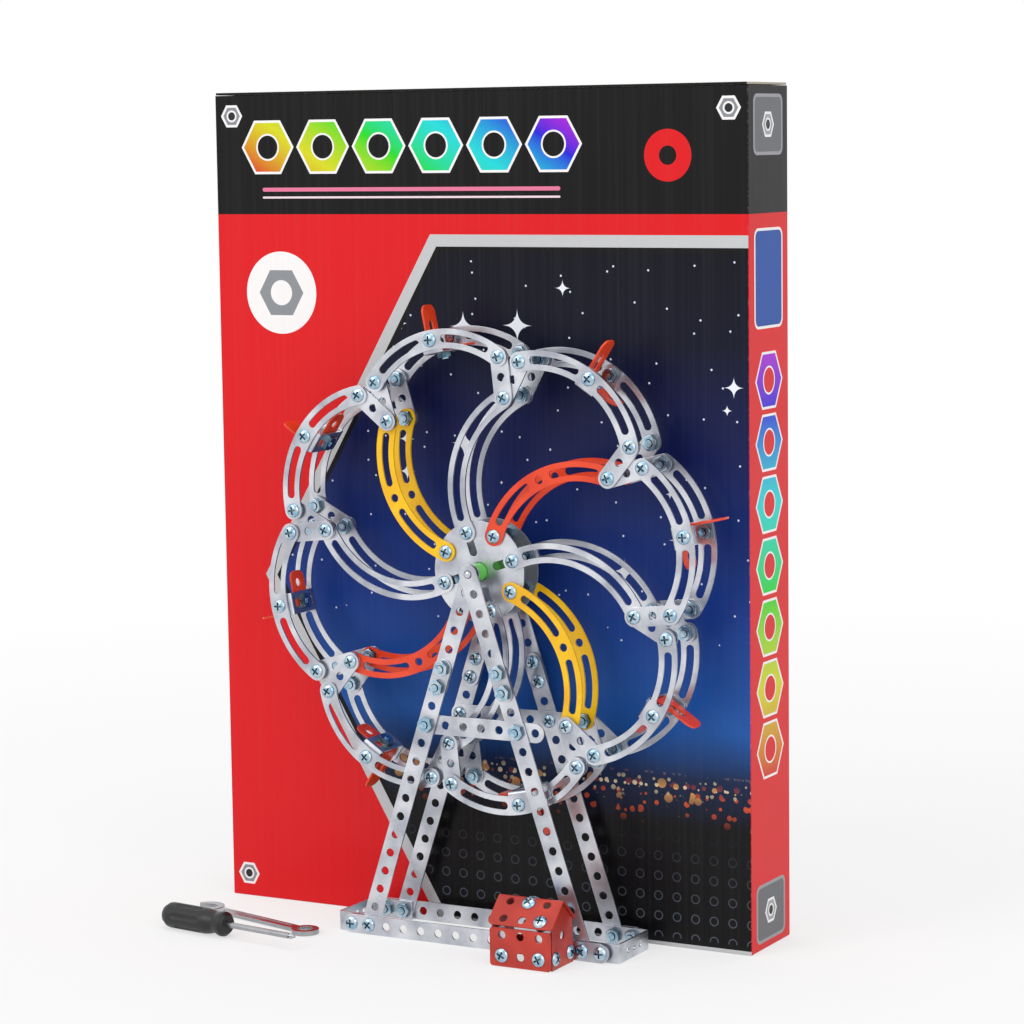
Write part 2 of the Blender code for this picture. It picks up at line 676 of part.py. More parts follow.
def carton_body_mesh(name):
    """The carton's four walls and floor: a block whose top is inset and pushed down inside."""
    work = bmesh.new()
    bmesh.ops.create_cube(work, size=1.0)
    wall_top = CARTON_HEIGHT - CARD - SEAT_GAP
    bmesh.ops.scale(work, vec=(CARTON_WIDTH, CARTON_DEPTH, wall_top), verts=work.verts)
    bmesh.ops.translate(work, vec=(0.0, 0.0, wall_top / 2), verts=work.verts)
    top = [face for face in work.faces if face.normal.z > 0.5]
    bmesh.ops.inset_region(work, faces=top, thickness=CARD, use_even_offset=True)
    pushed = bmesh.ops.extrude_face_region(work, geom=top)
    bmesh.ops.delete(work, geom=top, context="FACES")
    moved = [item for item in pushed["geom"] if isinstance(item, bmesh.types.BMVert)]
    bmesh.ops.translate(work, vec=(0.0, 0.0, CARD - wall_top), verts=moved)
    bmesh.ops.recalc_face_normals(work, faces=work.faces)
    mesh = bpy.data.meshes.new(name)
    work.to_mesh(mesh)
    work.free()
    return mesh


def carton_lid_mesh(name):
    """The top panel and the tongue that tucks inside the front wall, drawn from its hinge forwards."""
    half = CARTON_WIDTH / 2 - LID_SIDE_INSET
    panel = box_mesh(name, (-half, -CARTON_DEPTH, SEAT_GAP), (half, 0.0, SEAT_GAP + CARD))
    tongue_half = CARTON_WIDTH / 2 - TONGUE_SIDE_INSET
    radius = TONGUE_DEPTH / 2
    outline = (round_end((tongue_half - radius, -TONGUE_DEPTH + radius), radius, -math.pi / 4)[:2]
               + [(tongue_half, 0.0), (-tongue_half, 0.0)]
               + round_end((-tongue_half + radius, -TONGUE_DEPTH + radius), radius, -3 * math.pi / 4)[-2:])
    tongue = plate_mesh(name, [outline], CARD)
    tongue.transform(Matrix.Translation((0.0, -CARTON_DEPTH + 2 * CARD + SEAT_GAP, SEAT_GAP + CARD / 2))
                     @ Matrix.Rotation(math.radians(TONGUE_LEAN_DEG), 4, "X"))
    return combined(name, panel, [tongue])


# The tools

def spanner_mesh(name):
    """A flat spanner lying on the ground, an open jaw at one end and a ring at the other."""
    half = SPANNER_REACH / 2
    jaw = (-half, 0.0)
    ring = (half, 0.0)
    ring_join = math.pi - math.asin(SPANNER_SHANK_HALF_WIDTH / SPANNER_RING_RADIUS)
    jaw_join = math.asin(SPANNER_SHANK_HALF_WIDTH / SPANNER_JAW_RADIUS)
    mouth = math.pi + math.radians(SPANNER_JAW_TURN_DEG)
    lip = math.asin(SPANNER_GRIP / SPANNER_JAW_RADIUS)
    outline = arc(ring, SPANNER_RING_RADIUS, -ring_join, ring_join, SPANNER_ARC_STEPS)
    outline += arc(jaw, SPANNER_JAW_RADIUS, jaw_join, mouth - lip, SPANNER_ARC_STEPS)
    into = Vector((math.cos(mouth), math.sin(mouth)))
    across = Vector((-into.y, into.x))
    throat = Vector(jaw) - into * SPANNER_THROAT
    outline += [tuple(throat + across * side * SPANNER_GRIP) for side in (-1, 1)]
    outline += arc(jaw, SPANNER_JAW_RADIUS, mouth + lip, 2 * math.pi - jaw_join, SPANNER_ARC_STEPS)
    eye = circle(ring, SPANNER_GRIP / math.cos(math.pi / NUT_SIDES), NUT_SIDES)
    return plate_mesh(name, [outline, eye], SPANNER_THICK, SPANNER_THICK / 2, upright=False)


def screwdriver_mesh(name):
    """A screwdriver on its side: a moulded handle with a finger groove, and a blade with a pointed tip."""
    bevel = HANDLE_RADIUS - HANDLE_WAIST_RADIUS
    groove = HANDLE_LENGTH - HANDLE_GROOVE_SETBACK
    shoulder = HANDLE_LENGTH + BLADE_LENGTH
    profile = [
        (HANDLE_WAIST_RADIUS, 0.0), (HANDLE_RADIUS, bevel), (HANDLE_RADIUS, groove - HANDLE_GROOVE_HALF),
        (HANDLE_WAIST_RADIUS, groove), (HANDLE_RADIUS, groove + HANDLE_GROOVE_HALF),
        (HANDLE_WAIST_RADIUS, HANDLE_LENGTH), (BLADE_RADIUS, HANDLE_LENGTH),
        (BLADE_RADIUS, shoulder - TIP_LENGTH), (TIP_RADIUS, shoulder),
    ]
    mesh = turned_mesh(name, profile, ROUND_SIDES)
    half_side = math.pi / ROUND_SIDES
    mesh.transform(Matrix.Translation((0.0, 0.0, HANDLE_RADIUS * math.cos(half_side)))
                   @ Matrix.Rotation(QUARTER, 4, "Y") @ Matrix.Rotation(half_side, 4, "Z"))
    return mesh


# The assembly

def build_wheel():
    axis = empty("wheel_axis", HUB_PLACE)
    rim = rim_mesh("rim")
    rear_rim = mirrored(rim)
    arms = {}
    for look in (SILVER, RED, YELLOW):
        arm = arm_mesh("arm", look is SILVER)
        arms[look] = (arm, mirrored(arm))
    for i in range(ARM_COUNT):
        look = ARM_LOOKS[i % len(ARM_LOOKS)]
        turn = -i * ARM_STEP
        place(f"arm_front_{i + 1}", arms[look][0], look, axis, turn=turn)
        place(f"arm_rear_{i + 1}", arms[look][1], look, axis, turn=turn)
        place(f"rim_front_{i + 1}", rim, SILVER, axis, turn=turn)
        place(f"rim_rear_{i + 1}", rear_rim, SILVER, axis, turn=turn)
    seat = seat_mesh("seat")
    for i in range(ARM_COUNT):
        place(f"seat_{i + 1}", seat, RED, axis, turn=QUARTER - RIM_MIDDLE - i * ARM_STEP)
    disc = disc_mesh("hub_disc")
    place("hub_disc_front", disc, SILVER, axis)
    place("hub_disc_rear", mirrored(disc), SILVER, axis)
    place("hub_sleeve", sleeve_mesh("hub_sleeve"), GREEN, axis)


def build_stand():
    base = empty("stand", STAND_PLACE)
    for side, side_name in ((-1, "left"), (1, "right")):
        leg = leg_mesh(f"leg_{side_name}", side)
        place(f"leg_front_{side_name}", leg, SILVER, base)
        place(f"leg_rear_{side_name}", mirrored(leg), SILVER, base)
        place(f"base_end_{side_name}", end_bracket_mesh(f"base_end_{side_name}", side), SILVER, base)
    rail = strip_mesh("base_rail", (-RAIL_HALF_LENGTH, HALF_WIDTH), (RAIL_HALF_LENGTH, HALF_WIDTH),
                      RAIL_HOLES, LEG_OUTER, (0, 1, RAIL_HOLES - 2, RAIL_HOLES - 1))
    place("base_rail_front", rail, SILVER, base)
    place("base_rail_rear", mirrored(rail), SILVER, base)
    brace = brace_mesh("cross_brace")
    place("cross_brace_front", brace, SILVER, base)
    place("cross_brace_rear", mirrored(brace), SILVER, base)
    place("axle", axle_mesh("axle"), STEEL, base, (0.0, 0.0, HUB_HEIGHT))
    booth_place = (HOLE_PITCH * BOOTH_RAIL_HOLE, -STAND_HALF_DEPTH - SEAT_GAP - BOOTH_DEPTH - 2 * PLATE, 0.0)
    place("booth_walls", booth_walls_mesh("booth_walls"), RED, base, booth_place)
    place("booth_roof", booth_roof_mesh("booth_roof"), RED, base, booth_place)


def build_carton():
    place("carton_body", carton_body_mesh("carton_body"), CARD_RED, None)
    hinge = empty("lid_hinge", (0.0, CARTON_DEPTH / 2, CARTON_HEIGHT - CARD - SEAT_GAP))
    place("carton_lid", carton_lid_mesh("carton_lid"), CARD_BLACK, hinge)


def build_tools():
    front = -CARTON_DEPTH / 2
    spanner = place("spanner", spanner_mesh("spanner"), TOOL_STEEL, None,
                    (SPANNER_ACROSS, front - SPANNER_BEFORE, 0.0))
    spanner.rotation_euler.z = math.radians(SPANNER_TURN_DEG)
    driver = place("screwdriver", screwdriver_mesh("screwdriver"), TOOL_GRIP, None,
                   (SCREWDRIVER_ACROSS, front - SCREWDRIVER_BEFORE, 0.0))
    driver.rotation_euler.z = math.radians(SCREWDRIVER_TURN_DEG)


clear_scene()
build_wheel()
build_stand()
build_carton()
build_tools()
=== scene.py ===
"""The looks of a metal ferris wheel construction set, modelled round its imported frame.

Punched strips, screws, nuts, seats, booth, tools and the printed carton are modelled with Blender's own
operators, each at the size and place of the solid that it stands for.  Metres, +Z up, front towards -Y.
"""

from __future__ import annotations

import json
import logging
import math
from collections.abc import Callable, Iterable
from dataclasses import dataclass, field
from enum import Enum

import bpy
from mathutils import Matrix, Vector

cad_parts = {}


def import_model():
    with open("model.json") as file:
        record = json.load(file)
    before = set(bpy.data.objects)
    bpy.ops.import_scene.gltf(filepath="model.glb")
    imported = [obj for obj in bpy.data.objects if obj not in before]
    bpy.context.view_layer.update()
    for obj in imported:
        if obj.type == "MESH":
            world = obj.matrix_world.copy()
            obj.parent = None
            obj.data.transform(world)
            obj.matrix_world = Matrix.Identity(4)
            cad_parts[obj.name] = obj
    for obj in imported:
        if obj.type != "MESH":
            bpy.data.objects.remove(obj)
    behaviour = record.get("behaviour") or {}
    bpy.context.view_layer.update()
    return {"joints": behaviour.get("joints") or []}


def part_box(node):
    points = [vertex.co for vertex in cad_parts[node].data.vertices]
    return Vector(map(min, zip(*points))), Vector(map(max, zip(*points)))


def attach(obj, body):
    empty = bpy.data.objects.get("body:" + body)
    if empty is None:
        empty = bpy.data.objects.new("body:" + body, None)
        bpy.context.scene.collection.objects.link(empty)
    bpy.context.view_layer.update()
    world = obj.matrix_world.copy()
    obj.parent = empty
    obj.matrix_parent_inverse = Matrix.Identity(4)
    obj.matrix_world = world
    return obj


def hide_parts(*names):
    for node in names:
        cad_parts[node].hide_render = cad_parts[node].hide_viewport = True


LOG = logging.getLogger("ferris_wheel_set")
MM = 0.001
QUARTER = math.pi / 2
UPRIGHT = Matrix.Rotation(QUARTER, 4, "X")
HINDWARD = Matrix.Rotation(-QUARTER, 4, "X")
MIRROR_X = Matrix.Scale(-1.0, 4, (1.0, 0.0, 0.0))
MIRROR_Y = Matrix.Scale(-1.0, 4, (0.0, 1.0, 0.0))
RINGS = (("front", Matrix.Identity(4)), ("rear", MIRROR_Y))
NEAR = 1e-5

Point = tuple[float, float]
Piece = bpy.types.Object
Material = bpy.types.Material
Tree = bpy.types.NodeTree
Node = bpy.types.Node
Socket = bpy.types.NodeSocket


class Body(Enum):
    """The bodies that pieces ride on."""

    STAND = "stand_and_carton"
    WHEEL = "wheel"
    LID = "lid"


class Slot(Enum):
    """The record's material slot names; handed_over takes one for each piece but does not use it."""

    STEEL = "plated_steel"
    YELLOW = "yellow_enamel"
    RED = "red_enamel"
    GREEN = "green_plastic"
    AXLE = "axle_steel"
    CARD = "printed_card"
    TOOL = "tool_steel"
    GRIP = "tool_grip"


# Bench work: small steps that every piece is made with

def moved(x: float = 0.0, y: float = 0.0, z: float = 0.0) -> Matrix:
    """A straight move."""
    return Matrix.Translation((x, y, z))


def rotated(angle: float, axis: str | Vector) -> Matrix:
    """A turn about an axis through the origin."""
    return Matrix.Rotation(angle, 4, axis)


def rest() -> None:
    """Leaves edit mode and selects nothing."""
    if bpy.context.mode != "OBJECT":
        bpy.ops.object.mode_set(mode="OBJECT")
    bpy.ops.object.select_all(action="DESELECT")


def hold(*pieces: Piece) -> None:
    """Selects only these pieces, the first of them active."""
    rest()
    for piece in pieces:
        piece.select_set(True)
    bpy.context.view_layer.objects.active = pieces[0]


def pick(piece: Piece, kind: str, wanted: Callable[[object], bool]) -> None:
    """Opens a piece in edit mode with only some of its elements selected.

    Args:
        piece: the piece to open.
        kind: VERT, EDGE or FACE.
        wanted: tells whether an element of the mesh is to be selected.
    """
    hold(piece)
    bpy.ops.object.mode_set(mode="EDIT")
    bpy.ops.mesh.select_mode(type=kind)
    bpy.ops.mesh.select_all(action="DESELECT")
    bpy.ops.object.mode_set(mode="OBJECT")
    items = {"VERT": piece.data.vertices, "EDGE": piece.data.edges, "FACE": piece.data.polygons}[kind]
    for item in items:
        item.select = wanted(item)
    bpy.ops.object.mode_set(mode="EDIT")


def newest(name: str) -> Piece:
    """Names the piece that an operator has just added, and returns it."""
    piece = bpy.context.object
    piece.name = name
    piece.data.name = name
    return piece


def put(piece: Piece, place: Matrix) -> Piece:
    """Moves a piece by moving its mesh, so that its object stays at the origin."""
    piece.data.transform(place)
    if place.determinant() < 0:
        piece.data.flip_normals()
    return piece


def settle(piece: Piece) -> Piece:
    """Takes an object's own place, turn and scale into its mesh."""
    hold(piece)
    bpy.ops.object.transform_apply(location=True, rotation=True, scale=True)
    return piece


def copied(piece: Piece, name: str, place: Matrix) -> Piece:
    """A copy of a piece with a mesh of its own, moved to its place.

    Args:
        piece: the piece that is copied.
        name: the copy's name.
        place: how the copy is moved.

    Returns:
        The copy.
    """
    twin = piece.copy()
    twin.data = piece.data.copy()
    twin.name = name
    bpy.context.scene.collection.objects.link(twin)
    return put(twin, place)


def scrapped(pieces: Iterable[Piece]) -> None:
    """Removes cutters and masters that are no longer needed."""
    rest()
    for piece in pieces:
        bpy.data.objects.remove(piece, do_unlink=True)


def joined(name: str, pieces: list[Piece]) -> Piece:
    """Several pieces made one object, whose parts keep their materials."""
    hold(*pieces)
    if len(pieces) > 1:
        bpy.ops.object.join()
    return newest(name)


def cut(piece: Piece, cutters: list[Piece], operation: str = "DIFFERENCE") -> Piece:
    """Cuts a piece with others, or fuses them to it, and removes the others.

    Args:
        piece: the piece that is worked on.
        cutters: closed pieces that don't touch one another.
        operation: DIFFERENCE, UNION or INTERSECT.

    Returns:
        The piece.
    """
    tool = joined("cutter", cutters)
    hold(piece)
    modifier = piece.modifiers.new("work", "BOOLEAN")
    modifier.operation = operation
    modifier.solver = "EXACT"
    modifier.object = tool
    bpy.ops.object.modifier_apply(modifier="work")
    scrapped([tool])
    return piece


def eased(piece: Piece, width: float, segments: int = 2, angle_deg: float = 35.0) -> Piece:
    """Rounds the sharp edges of a piece a little, as tumbling or moulding does."""
    hold(piece)
    modifier = piece.modifiers.new("ease", "BEVEL")
    modifier.width = width
    modifier.segments = segments
    modifier.limit_method = "ANGLE"
    modifier.angle_limit = math.radians(angle_deg)
    bpy.ops.object.modifier_apply(modifier="ease")
    return piece


def shaded(piece: Piece, angle_deg: float = 40.0) -> Piece:
    """Shades a piece smooth, with its large flats kept flat."""
    hold(piece)
    bpy.ops.object.shade_smooth_by_angle(angle=math.radians(angle_deg))
    modifier = piece.modifiers.new("normals", "WEIGHTED_NORMAL")
    modifier.keep_sharp = True
    bpy.ops.object.modifier_apply(modifier="normals")
    return piece


def tidied(piece: Piece) -> Piece:
    """Merges doubled corners and points the faces outwards."""
    hold(piece)
    bpy.ops.object.mode_set(mode="EDIT")
    bpy.ops.mesh.select_all(action="SELECT")
    bpy.ops.mesh.remove_doubles(threshold=NEAR)
    bpy.ops.mesh.normals_make_consistent(inside=False)
    bpy.ops.object.mode_set(mode="OBJECT")
    return piece


def block(name: str, low: Vector, high: Vector) -> Piece:
    """A rectangular block between two corners."""
    rest()
    size = Vector(high) - Vector(low)
    bpy.ops.mesh.primitive_cube_add(size=1.0, location=(Vector(high) + Vector(low)) / 2)
    piece = newest(name)
    piece.scale = size
    return settle(piece)


def rod(name: str, radius: float, length: float, place: Matrix, sides: int = 28) -> Piece:
    """A round rod about the local Z axis of its place, its middle there."""
    rest()
    bpy.ops.mesh.primitive_cylinder_add(vertices=sides, radius=radius, depth=length)
    return put(newest(name), place)


def lathed(name: str, profile: list[Point], sides: int) -> Piece:
    """A turned piece about Z: a disc that is extruded and resized from one height to the next.

    Args:
        name: the piece's name.
        profile: radius and height of each ring, bottom to top.
        sides: how many sides it has.

    Returns:
        The piece, closed at both ends.
    """
    rest()
    radius, height = profile[0]
    bpy.ops.mesh.primitive_circle_add(vertices=sides, radius=radius, fill_type="NGON",
                                      location=(0.0, 0.0, height))
    piece = settle(newest(name))
    pick(piece, "FACE", lambda face: True)
    for next_radius, next_height in profile[1:]:
        bpy.ops.mesh.extrude_region_move(
            TRANSFORM_OT_translate={"value": (0.0, 0.0, next_height - height)})
        ratio = next_radius / radius
        bpy.ops.transform.resize(value=(ratio, ratio, 1.0), center_override=(0.0, 0.0, next_height))
        radius, height = next_radius, next_height
    return tidied(piece)


class DrawnBar:
    """A flat bar that is pushed along a path of straight runs, turns in its plane and folds.

    Its section starts on the YZ plane, the width along Y and the thickness along Z, and it travels
    towards +X.  spots holds the travelling frame before each step and after the last.
    """

    def __init__(self, name: str, width: float, sheet: float) -> None:
        """Sets up the section that is pushed along."""
        self.width = width
        self.sheet = sheet
        self.spots = [Matrix.Identity(4)]
        rest()
        bpy.ops.mesh.primitive_plane_add(size=1.0, rotation=(0.0, QUARTER, 0.0))
        self.piece = newest(name)
        self.piece.scale = (sheet, width, 1.0)
        settle(self.piece)
        pick(self.piece, "FACE", lambda face: True)

    def run(self, length: float) -> DrawnBar:
        """Goes straight on."""
        spot = self.spots[-1]
        bpy.ops.mesh.extrude_region_move(
            TRANSFORM_OT_translate={"value": spot.to_3x3() @ Vector((length, 0.0, 0.0))})
        self.spots.append(spot @ moved(length))
        return self

    def turn(self, angle: float, radius: float, steps: int) -> DrawnBar:
        """Turns in the bar's own plane, to the left for a positive angle."""
        return self._spun(angle, Vector((0.0, math.copysign(radius, angle), 0.0)), (0.0, 0.0, 1.0), steps)

    def fold(self, angle: float, inside: float, steps: int = 4) -> DrawnBar:
        """Folds across the bar, up for a positive angle, with an inside radius."""
        lift = math.copysign(inside + self.sheet / 2, angle)
        return self._spun(angle, Vector((0.0, 0.0, lift)), (0.0, -1.0, 0.0), steps)

    def _spun(self, angle: float, centre: Vector, axis: tuple, steps: int) -> DrawnBar:
        """Sweeps the section's face about an axis of the travelling frame."""
        spot = self.spots[-1]
        direction = Vector(axis)
        bpy.ops.mesh.spin(steps=steps, angle=-angle, center=spot @ centre, axis=spot.to_3x3() @ direction)
        step = (moved(*centre) @ rotated(angle, direction)
                @ moved(*-centre))
        self.spots.append(spot @ step)
        return self

    def done(self, corner: float = 0.0, segments: int = 8) -> Piece:
        """Closes the bar and rounds the corners of its two ends."""
        piece = tidied(self.piece)
        if corner:
            ends = [self.spots[0], self.spots[-1]]
            pick(piece, "EDGE", lambda edge: self._is_corner(edge, ends))
            bpy.ops.mesh.bevel(offset=corner, segments=segments, affect="EDGES", clamp_overlap=False)
            tidied(piece)
        return piece

    def _is_corner(self, edge: bpy.types.MeshEdge, ends: list[Matrix]) -> bool:
        """Tells whether an edge stands across the sheet at one of the bar's ends."""
        points = [self.piece.data.vertices[i].co for i in edge.vertices]
        along = (points[1] - points[0]).normalized()
        for spot in ends:
            travel = spot.col[0].to_3d()
            across = spot.col[2].to_3d()
            place = spot.translation
            flush = all(abs((point - place).dot(travel)) < NEAR for point in points)
            if flush and abs(along.dot(across)) > 1 - NEAR:
                return True
        return False


# Punched strips, drawn in the plane that faces -Y

def upright_spot(point: Point, heading: float, depth: float) -> Matrix:
    """The travelling frame at a point of the front plane, facing -Y, depth in front of the middle."""
    return (moved(point[0], -depth, point[1]) @ UPRIGHT
            @ rotated(heading, "Z"))


def polar(radius: float, angle: float) -> Point:
    """A point of the front plane from its radius and angle."""
    return (radius * math.cos(angle), radius * math.sin(angle))


def line_bar(name: str, start: Point, end: Point, width: float, sheet: float, depth: float) -> Piece:
    """A straight bar with round ends, about the line between two hole centres."""
    length = math.dist(start, end)
    heading = math.atan2(end[1] - start[1], end[0] - start[0])
    bar = DrawnBar(name, width, sheet)
    bar.run(length + width)
    piece = bar.done(width / 2 - NEAR)
    return put(piece, upright_spot(start, heading, depth) @ moved(-width / 2))


def arc_bar(name: str, centre: Point, radius: float, first: float, last: float, width: float,
            sheet: float, depth: float, steps: int = 24) -> Piece:
    """A curved bar with round ends, along an arc between two hole centres, anticlockwise."""
    bar = DrawnBar(name, width, sheet)
    bar.run(width / 2).turn(last - first, radius, steps).run(width / 2)
    start = (centre[0] + radius * math.cos(first), centre[1] + radius * math.sin(first))
    piece = bar.done(width / 2 - NEAR)
    place = upright_spot(start, first + QUARTER, depth) @ moved(-width / 2)
    return put(piece, place)


def pin(point: Point, radius: float, length: float, depth: float, sides: int = 28) -> Piece:
    """A round cutter through the front plane."""
    return rod("pin", radius, length, upright_spot(point, 0.0, depth), sides)


@dataclass(frozen=True)
class Stock:
    """Punched strip and hardware: the sizes that the whole set shares, in metres."""

    pitch: float = 0.010
    hole_radius: float = 0.0021
    width: float = 0.0096
    sheet: float = 0.0010
    gap: float = 0.0003
    edge: float = 0.00014
    fold: float = 0.0006
    slot_half_width: float = 0.0020

    @property
    def layer(self) -> float:
        """From the middle of one sheet to the middle of the next."""
        return self.sheet + self.gap

    def punched(self, piece: Piece, cutters: list[Piece]) -> Piece:
        """Punches holes and slots, and eases the edges that punching leaves."""
        return eased(cut(piece, cutters), self.edge)

    def hole(self, point: Point, depth: float, radius: float = 0.0) -> Piece:
        """A cutter for one screw hole."""
        return pin(point, radius or self.hole_radius, 4 * self.sheet, depth)

    def slot(self, start: Point, end: Point, depth: float, half: float = 0.0) -> Piece:
        """A cutter for one straight slot."""
        return line_bar("slot", start, end, 2 * (half or self.slot_half_width), 4 * self.sheet, depth)

    def strip(self, name: str, start: Point, end: Point, holes: int, depth: float) -> Piece:
        """A straight strip, its holes spaced evenly from its first hole to its last."""
        piece = line_bar(name, start, end, self.width, self.sheet, depth)
        spots = [Vector(start).lerp(Vector(end), i / (holes - 1)) for i in range(holes)]
        return self.punched(piece, [self.hole(tuple(spot), depth) for spot in spots])


STOCK = Stock()


# Finishes

def linear(code: str) -> tuple[float, float, float, float]:
    """Turns an sRGB hex colour into the linear colour that a shader takes."""
    parts = [int(code[i:i + 2], 16) / 255 for i in (1, 3, 5)]
    return (*[part / 12.92 if part <= 0.04045 else ((part + 0.055) / 1.055) ** 2.4 for part in parts], 1.0)


def per_metre(size_mm: float) -> float:
    """The scale of a texture whose features are this size."""
    return 1000.0 / size_mm


def live(node: Node) -> Socket:
    """A node's first output that its settings leave in use."""
    return next(output for output in node.outputs if output.enabled)


def add(tree: Tree, kind: str, feeds: dict | None = None,
        into: Socket | None = None, **settings: object) -> Node:
    """Adds one shader node with its settings, values and links.

    Args:
        tree: the material's nodes.
        kind: the node's type, without ShaderNode.
        feeds: for an input's name or number, a value, a socket, or a node whose live output is taken.
        into: an input that the node's live output goes to.
        settings: the node's own settings.

    Returns:
        The node.
    """
    made = tree.nodes.new("ShaderNode" + kind)
    for name, value in settings.items():
        setattr(made, name, value)
    for key, value in (feeds or {}).items():
        if isinstance(value, Node):
            value = live(value)
        if isinstance(value, Socket):
            tree.links.new(value, made.inputs[key])
        else:
            made.inputs[key].default_value = value
    if into:
        tree.links.new(live(made), into)
    return made


def fresh(name: str) -> tuple[Material, Tree, Node, Socket]:
    """A new material, its nodes, its Principled shader and the object's coordinates in metres."""
    material = bpy.data.materials.new(name)
    material.use_nodes = True
    tree = material.node_tree
    shader = tree.nodes["Principled BSDF"]
    return material, tree, shader, add(tree, "TexCoord").outputs["Object"]


def worked(tree: Tree, shader: Node, patches: Node,
           shades: tuple[str, str], grain: Node, gloss: tuple[float, float]) -> None:
    """Spreads two shades over a surface by its patches, and its roughness by its grain.

    Args:
        tree: the material's nodes.
        shader: its Principled shader.
        patches: 0 where the first shade shows, 1 where the second does.
        shades: the two hex colours.
        grain: 0 where the surface is smoothest, 1 where it is roughest.
        gloss: the lowest and highest roughness.
    """
    colours = {0: patches, 6: linear(shades[0]), 7: linear(shades[1])}
    add(tree, "Mix", colours, shader.inputs["Base Color"], data_type="RGBA")
    add(tree, "MapRange", {0: grain, 3: gloss[0], 4: gloss[1]}, shader.inputs["Roughness"])


@dataclass(frozen=True)
class PlatedSteel:
    """Cold rolled steel strip, barrel nickel plated: a pale satin silver, clouded by tumbling."""

    name: str = "nickel_plated_steel"
    tint: str = "#DCDEE4"
    shade: str = "#A9ACB6"
    cloud_mm: float = 16.0
    grain_mm: float = 0.35
    roughness: tuple[float, float] = (0.24, 0.38)

    def material(self) -> Material:
        """Builds the finish."""
        material, tree, shader, spot = fresh(self.name)
        cloud = add(tree, "TexNoise", {"Vector": spot, "Scale": per_metre(self.cloud_mm), "Detail": 4.0})
        spread = add(tree, "MapRange", {0: cloud, 1: 0.36, 2: 0.68})
        grain = add(tree, "TexNoise", {"Vector": spot, "Scale": per_metre(self.grain_mm), "Detail": 2.0})
        worked(tree, shader, spread, (self.tint, self.shade), grain, self.roughness)
        add(tree, "Bump", {"Height": grain, "Distance": 0.02 * MM, "Strength": 0.25}, shader.inputs["Normal"])
        shader.inputs["Metallic"].default_value = 0.94
        return material


@dataclass(frozen=True)
class StoveEnamel:
    """Stove enamel on steel strip: full gloss with a slight orange peel, paler where it runs thin."""

    name: str
    tint: str
    shade: str
    roughness: tuple[float, float] = (0.24, 0.34)
    peel_mm: float = 1.3
    cloud_mm: float = 18.0

    def material(self) -> Material:
        """Builds the finish."""
        material, tree, shader, spot = fresh(self.name)
        cloud = add(tree, "TexNoise", {"Vector": spot, "Scale": per_metre(self.cloud_mm), "Detail": 2.0})
        spread = add(tree, "MapRange", {0: cloud, 1: 0.36, 2: 0.66})
        peel = add(tree, "TexNoise", {"Vector": spot, "Scale": per_metre(self.peel_mm), "Detail": 1.0})
        worked(tree, shader, spread, (self.tint, self.shade), peel, self.roughness)
        add(tree, "Bump", {"Height": peel, "Distance": 0.03 * MM, "Strength": 0.2}, shader.inputs["Normal"])
        shader.inputs["Specular IOR Level"].default_value = 0.35
        shader.inputs["Coat Weight"].default_value = 0.2
        shader.inputs["Coat Roughness"].default_value = 0.12
        return material


@dataclass(frozen=True)
class BrightZinc:
    """Screws in bright zinc with a clear blue passivate: mirror-like, cool, with a faint iridescence."""

    name: str = "blue_passivated_zinc"
    tint: str = "#8DB4CC"
    warm: str = "#C3D2DB"
    patch_mm: float = 2.4
    roughness: tuple[float, float] = (0.16, 0.28)

    def material(self) -> Material:
        """Builds the finish."""
        material, tree, shader, spot = fresh(self.name)
        patch = add(tree, "TexNoise", {"Vector": spot, "Scale": per_metre(self.patch_mm), "Detail": 2.0})
        spread = add(tree, "MapRange", {0: patch, 1: 0.38, 2: 0.64})
        worked(tree, shader, spread, (self.tint, self.warm), patch, self.roughness)
        add(tree, "Bump", {"Height": patch, "Distance": 0.02 * MM, "Strength": 0.15}, shader.inputs["Normal"])
        shader.inputs["Metallic"].default_value = 1.0
        return material


@dataclass(frozen=True)
class MouldedPlastic:
    """Injection moulded polypropylene with a fine spark-eroded texture."""

    name: str
    tint: str
    shade: str
    roughness: tuple[float, float]
    grain_mm: float = 0.5
    relief_mm: float = 0.03

    def material(self) -> Material:
        """Builds the finish."""
        material, tree, shader, spot = fresh(self.name)
        grain = add(tree, "TexNoise", {"Vector": spot, "Scale": per_metre(self.grain_mm), "Detail": 3.0})
        worked(tree, shader, grain, (self.tint, self.shade), grain, self.roughness)
        add(tree, "Bump", {"Height": grain, "Distance": self.relief_mm * MM, "Strength": 0.3},
            shader.inputs["Normal"])
        shader.inputs["IOR"].default_value = 1.49
        return material


@dataclass(frozen=True)
class ForgedChrome:
    """Forged tool steel, chromed over a bead-blasted skin: darker than the strips, with soft highlights."""

    name: str = "satin_chromed_tool_steel"
    tint: str = "#B9BBBE"
    shade: str = "#8D9094"
    blast_mm: float = 0.45
    cloud_mm: float = 7.0
    roughness: tuple[float, float] = (0.22, 0.38)

    def material(self) -> Material:
        """Builds the finish."""
        material, tree, shader, spot = fresh(self.name)
        cloud = add(tree, "TexNoise", {"Vector": spot, "Scale": per_metre(self.cloud_mm), "Detail": 4.0})
        blast = add(tree, "TexNoise", {"Vector": spot, "Scale": per_metre(self.blast_mm), "Detail": 2.0})
        worked(tree, shader, cloud, (self.tint, self.shade), blast, self.roughness)
        add(tree, "Bump", {"Height": blast, "Distance": 0.03 * MM, "Strength": 0.3}, shader.inputs["Normal"])
        shader.inputs["Metallic"].default_value = 1.0
        return material


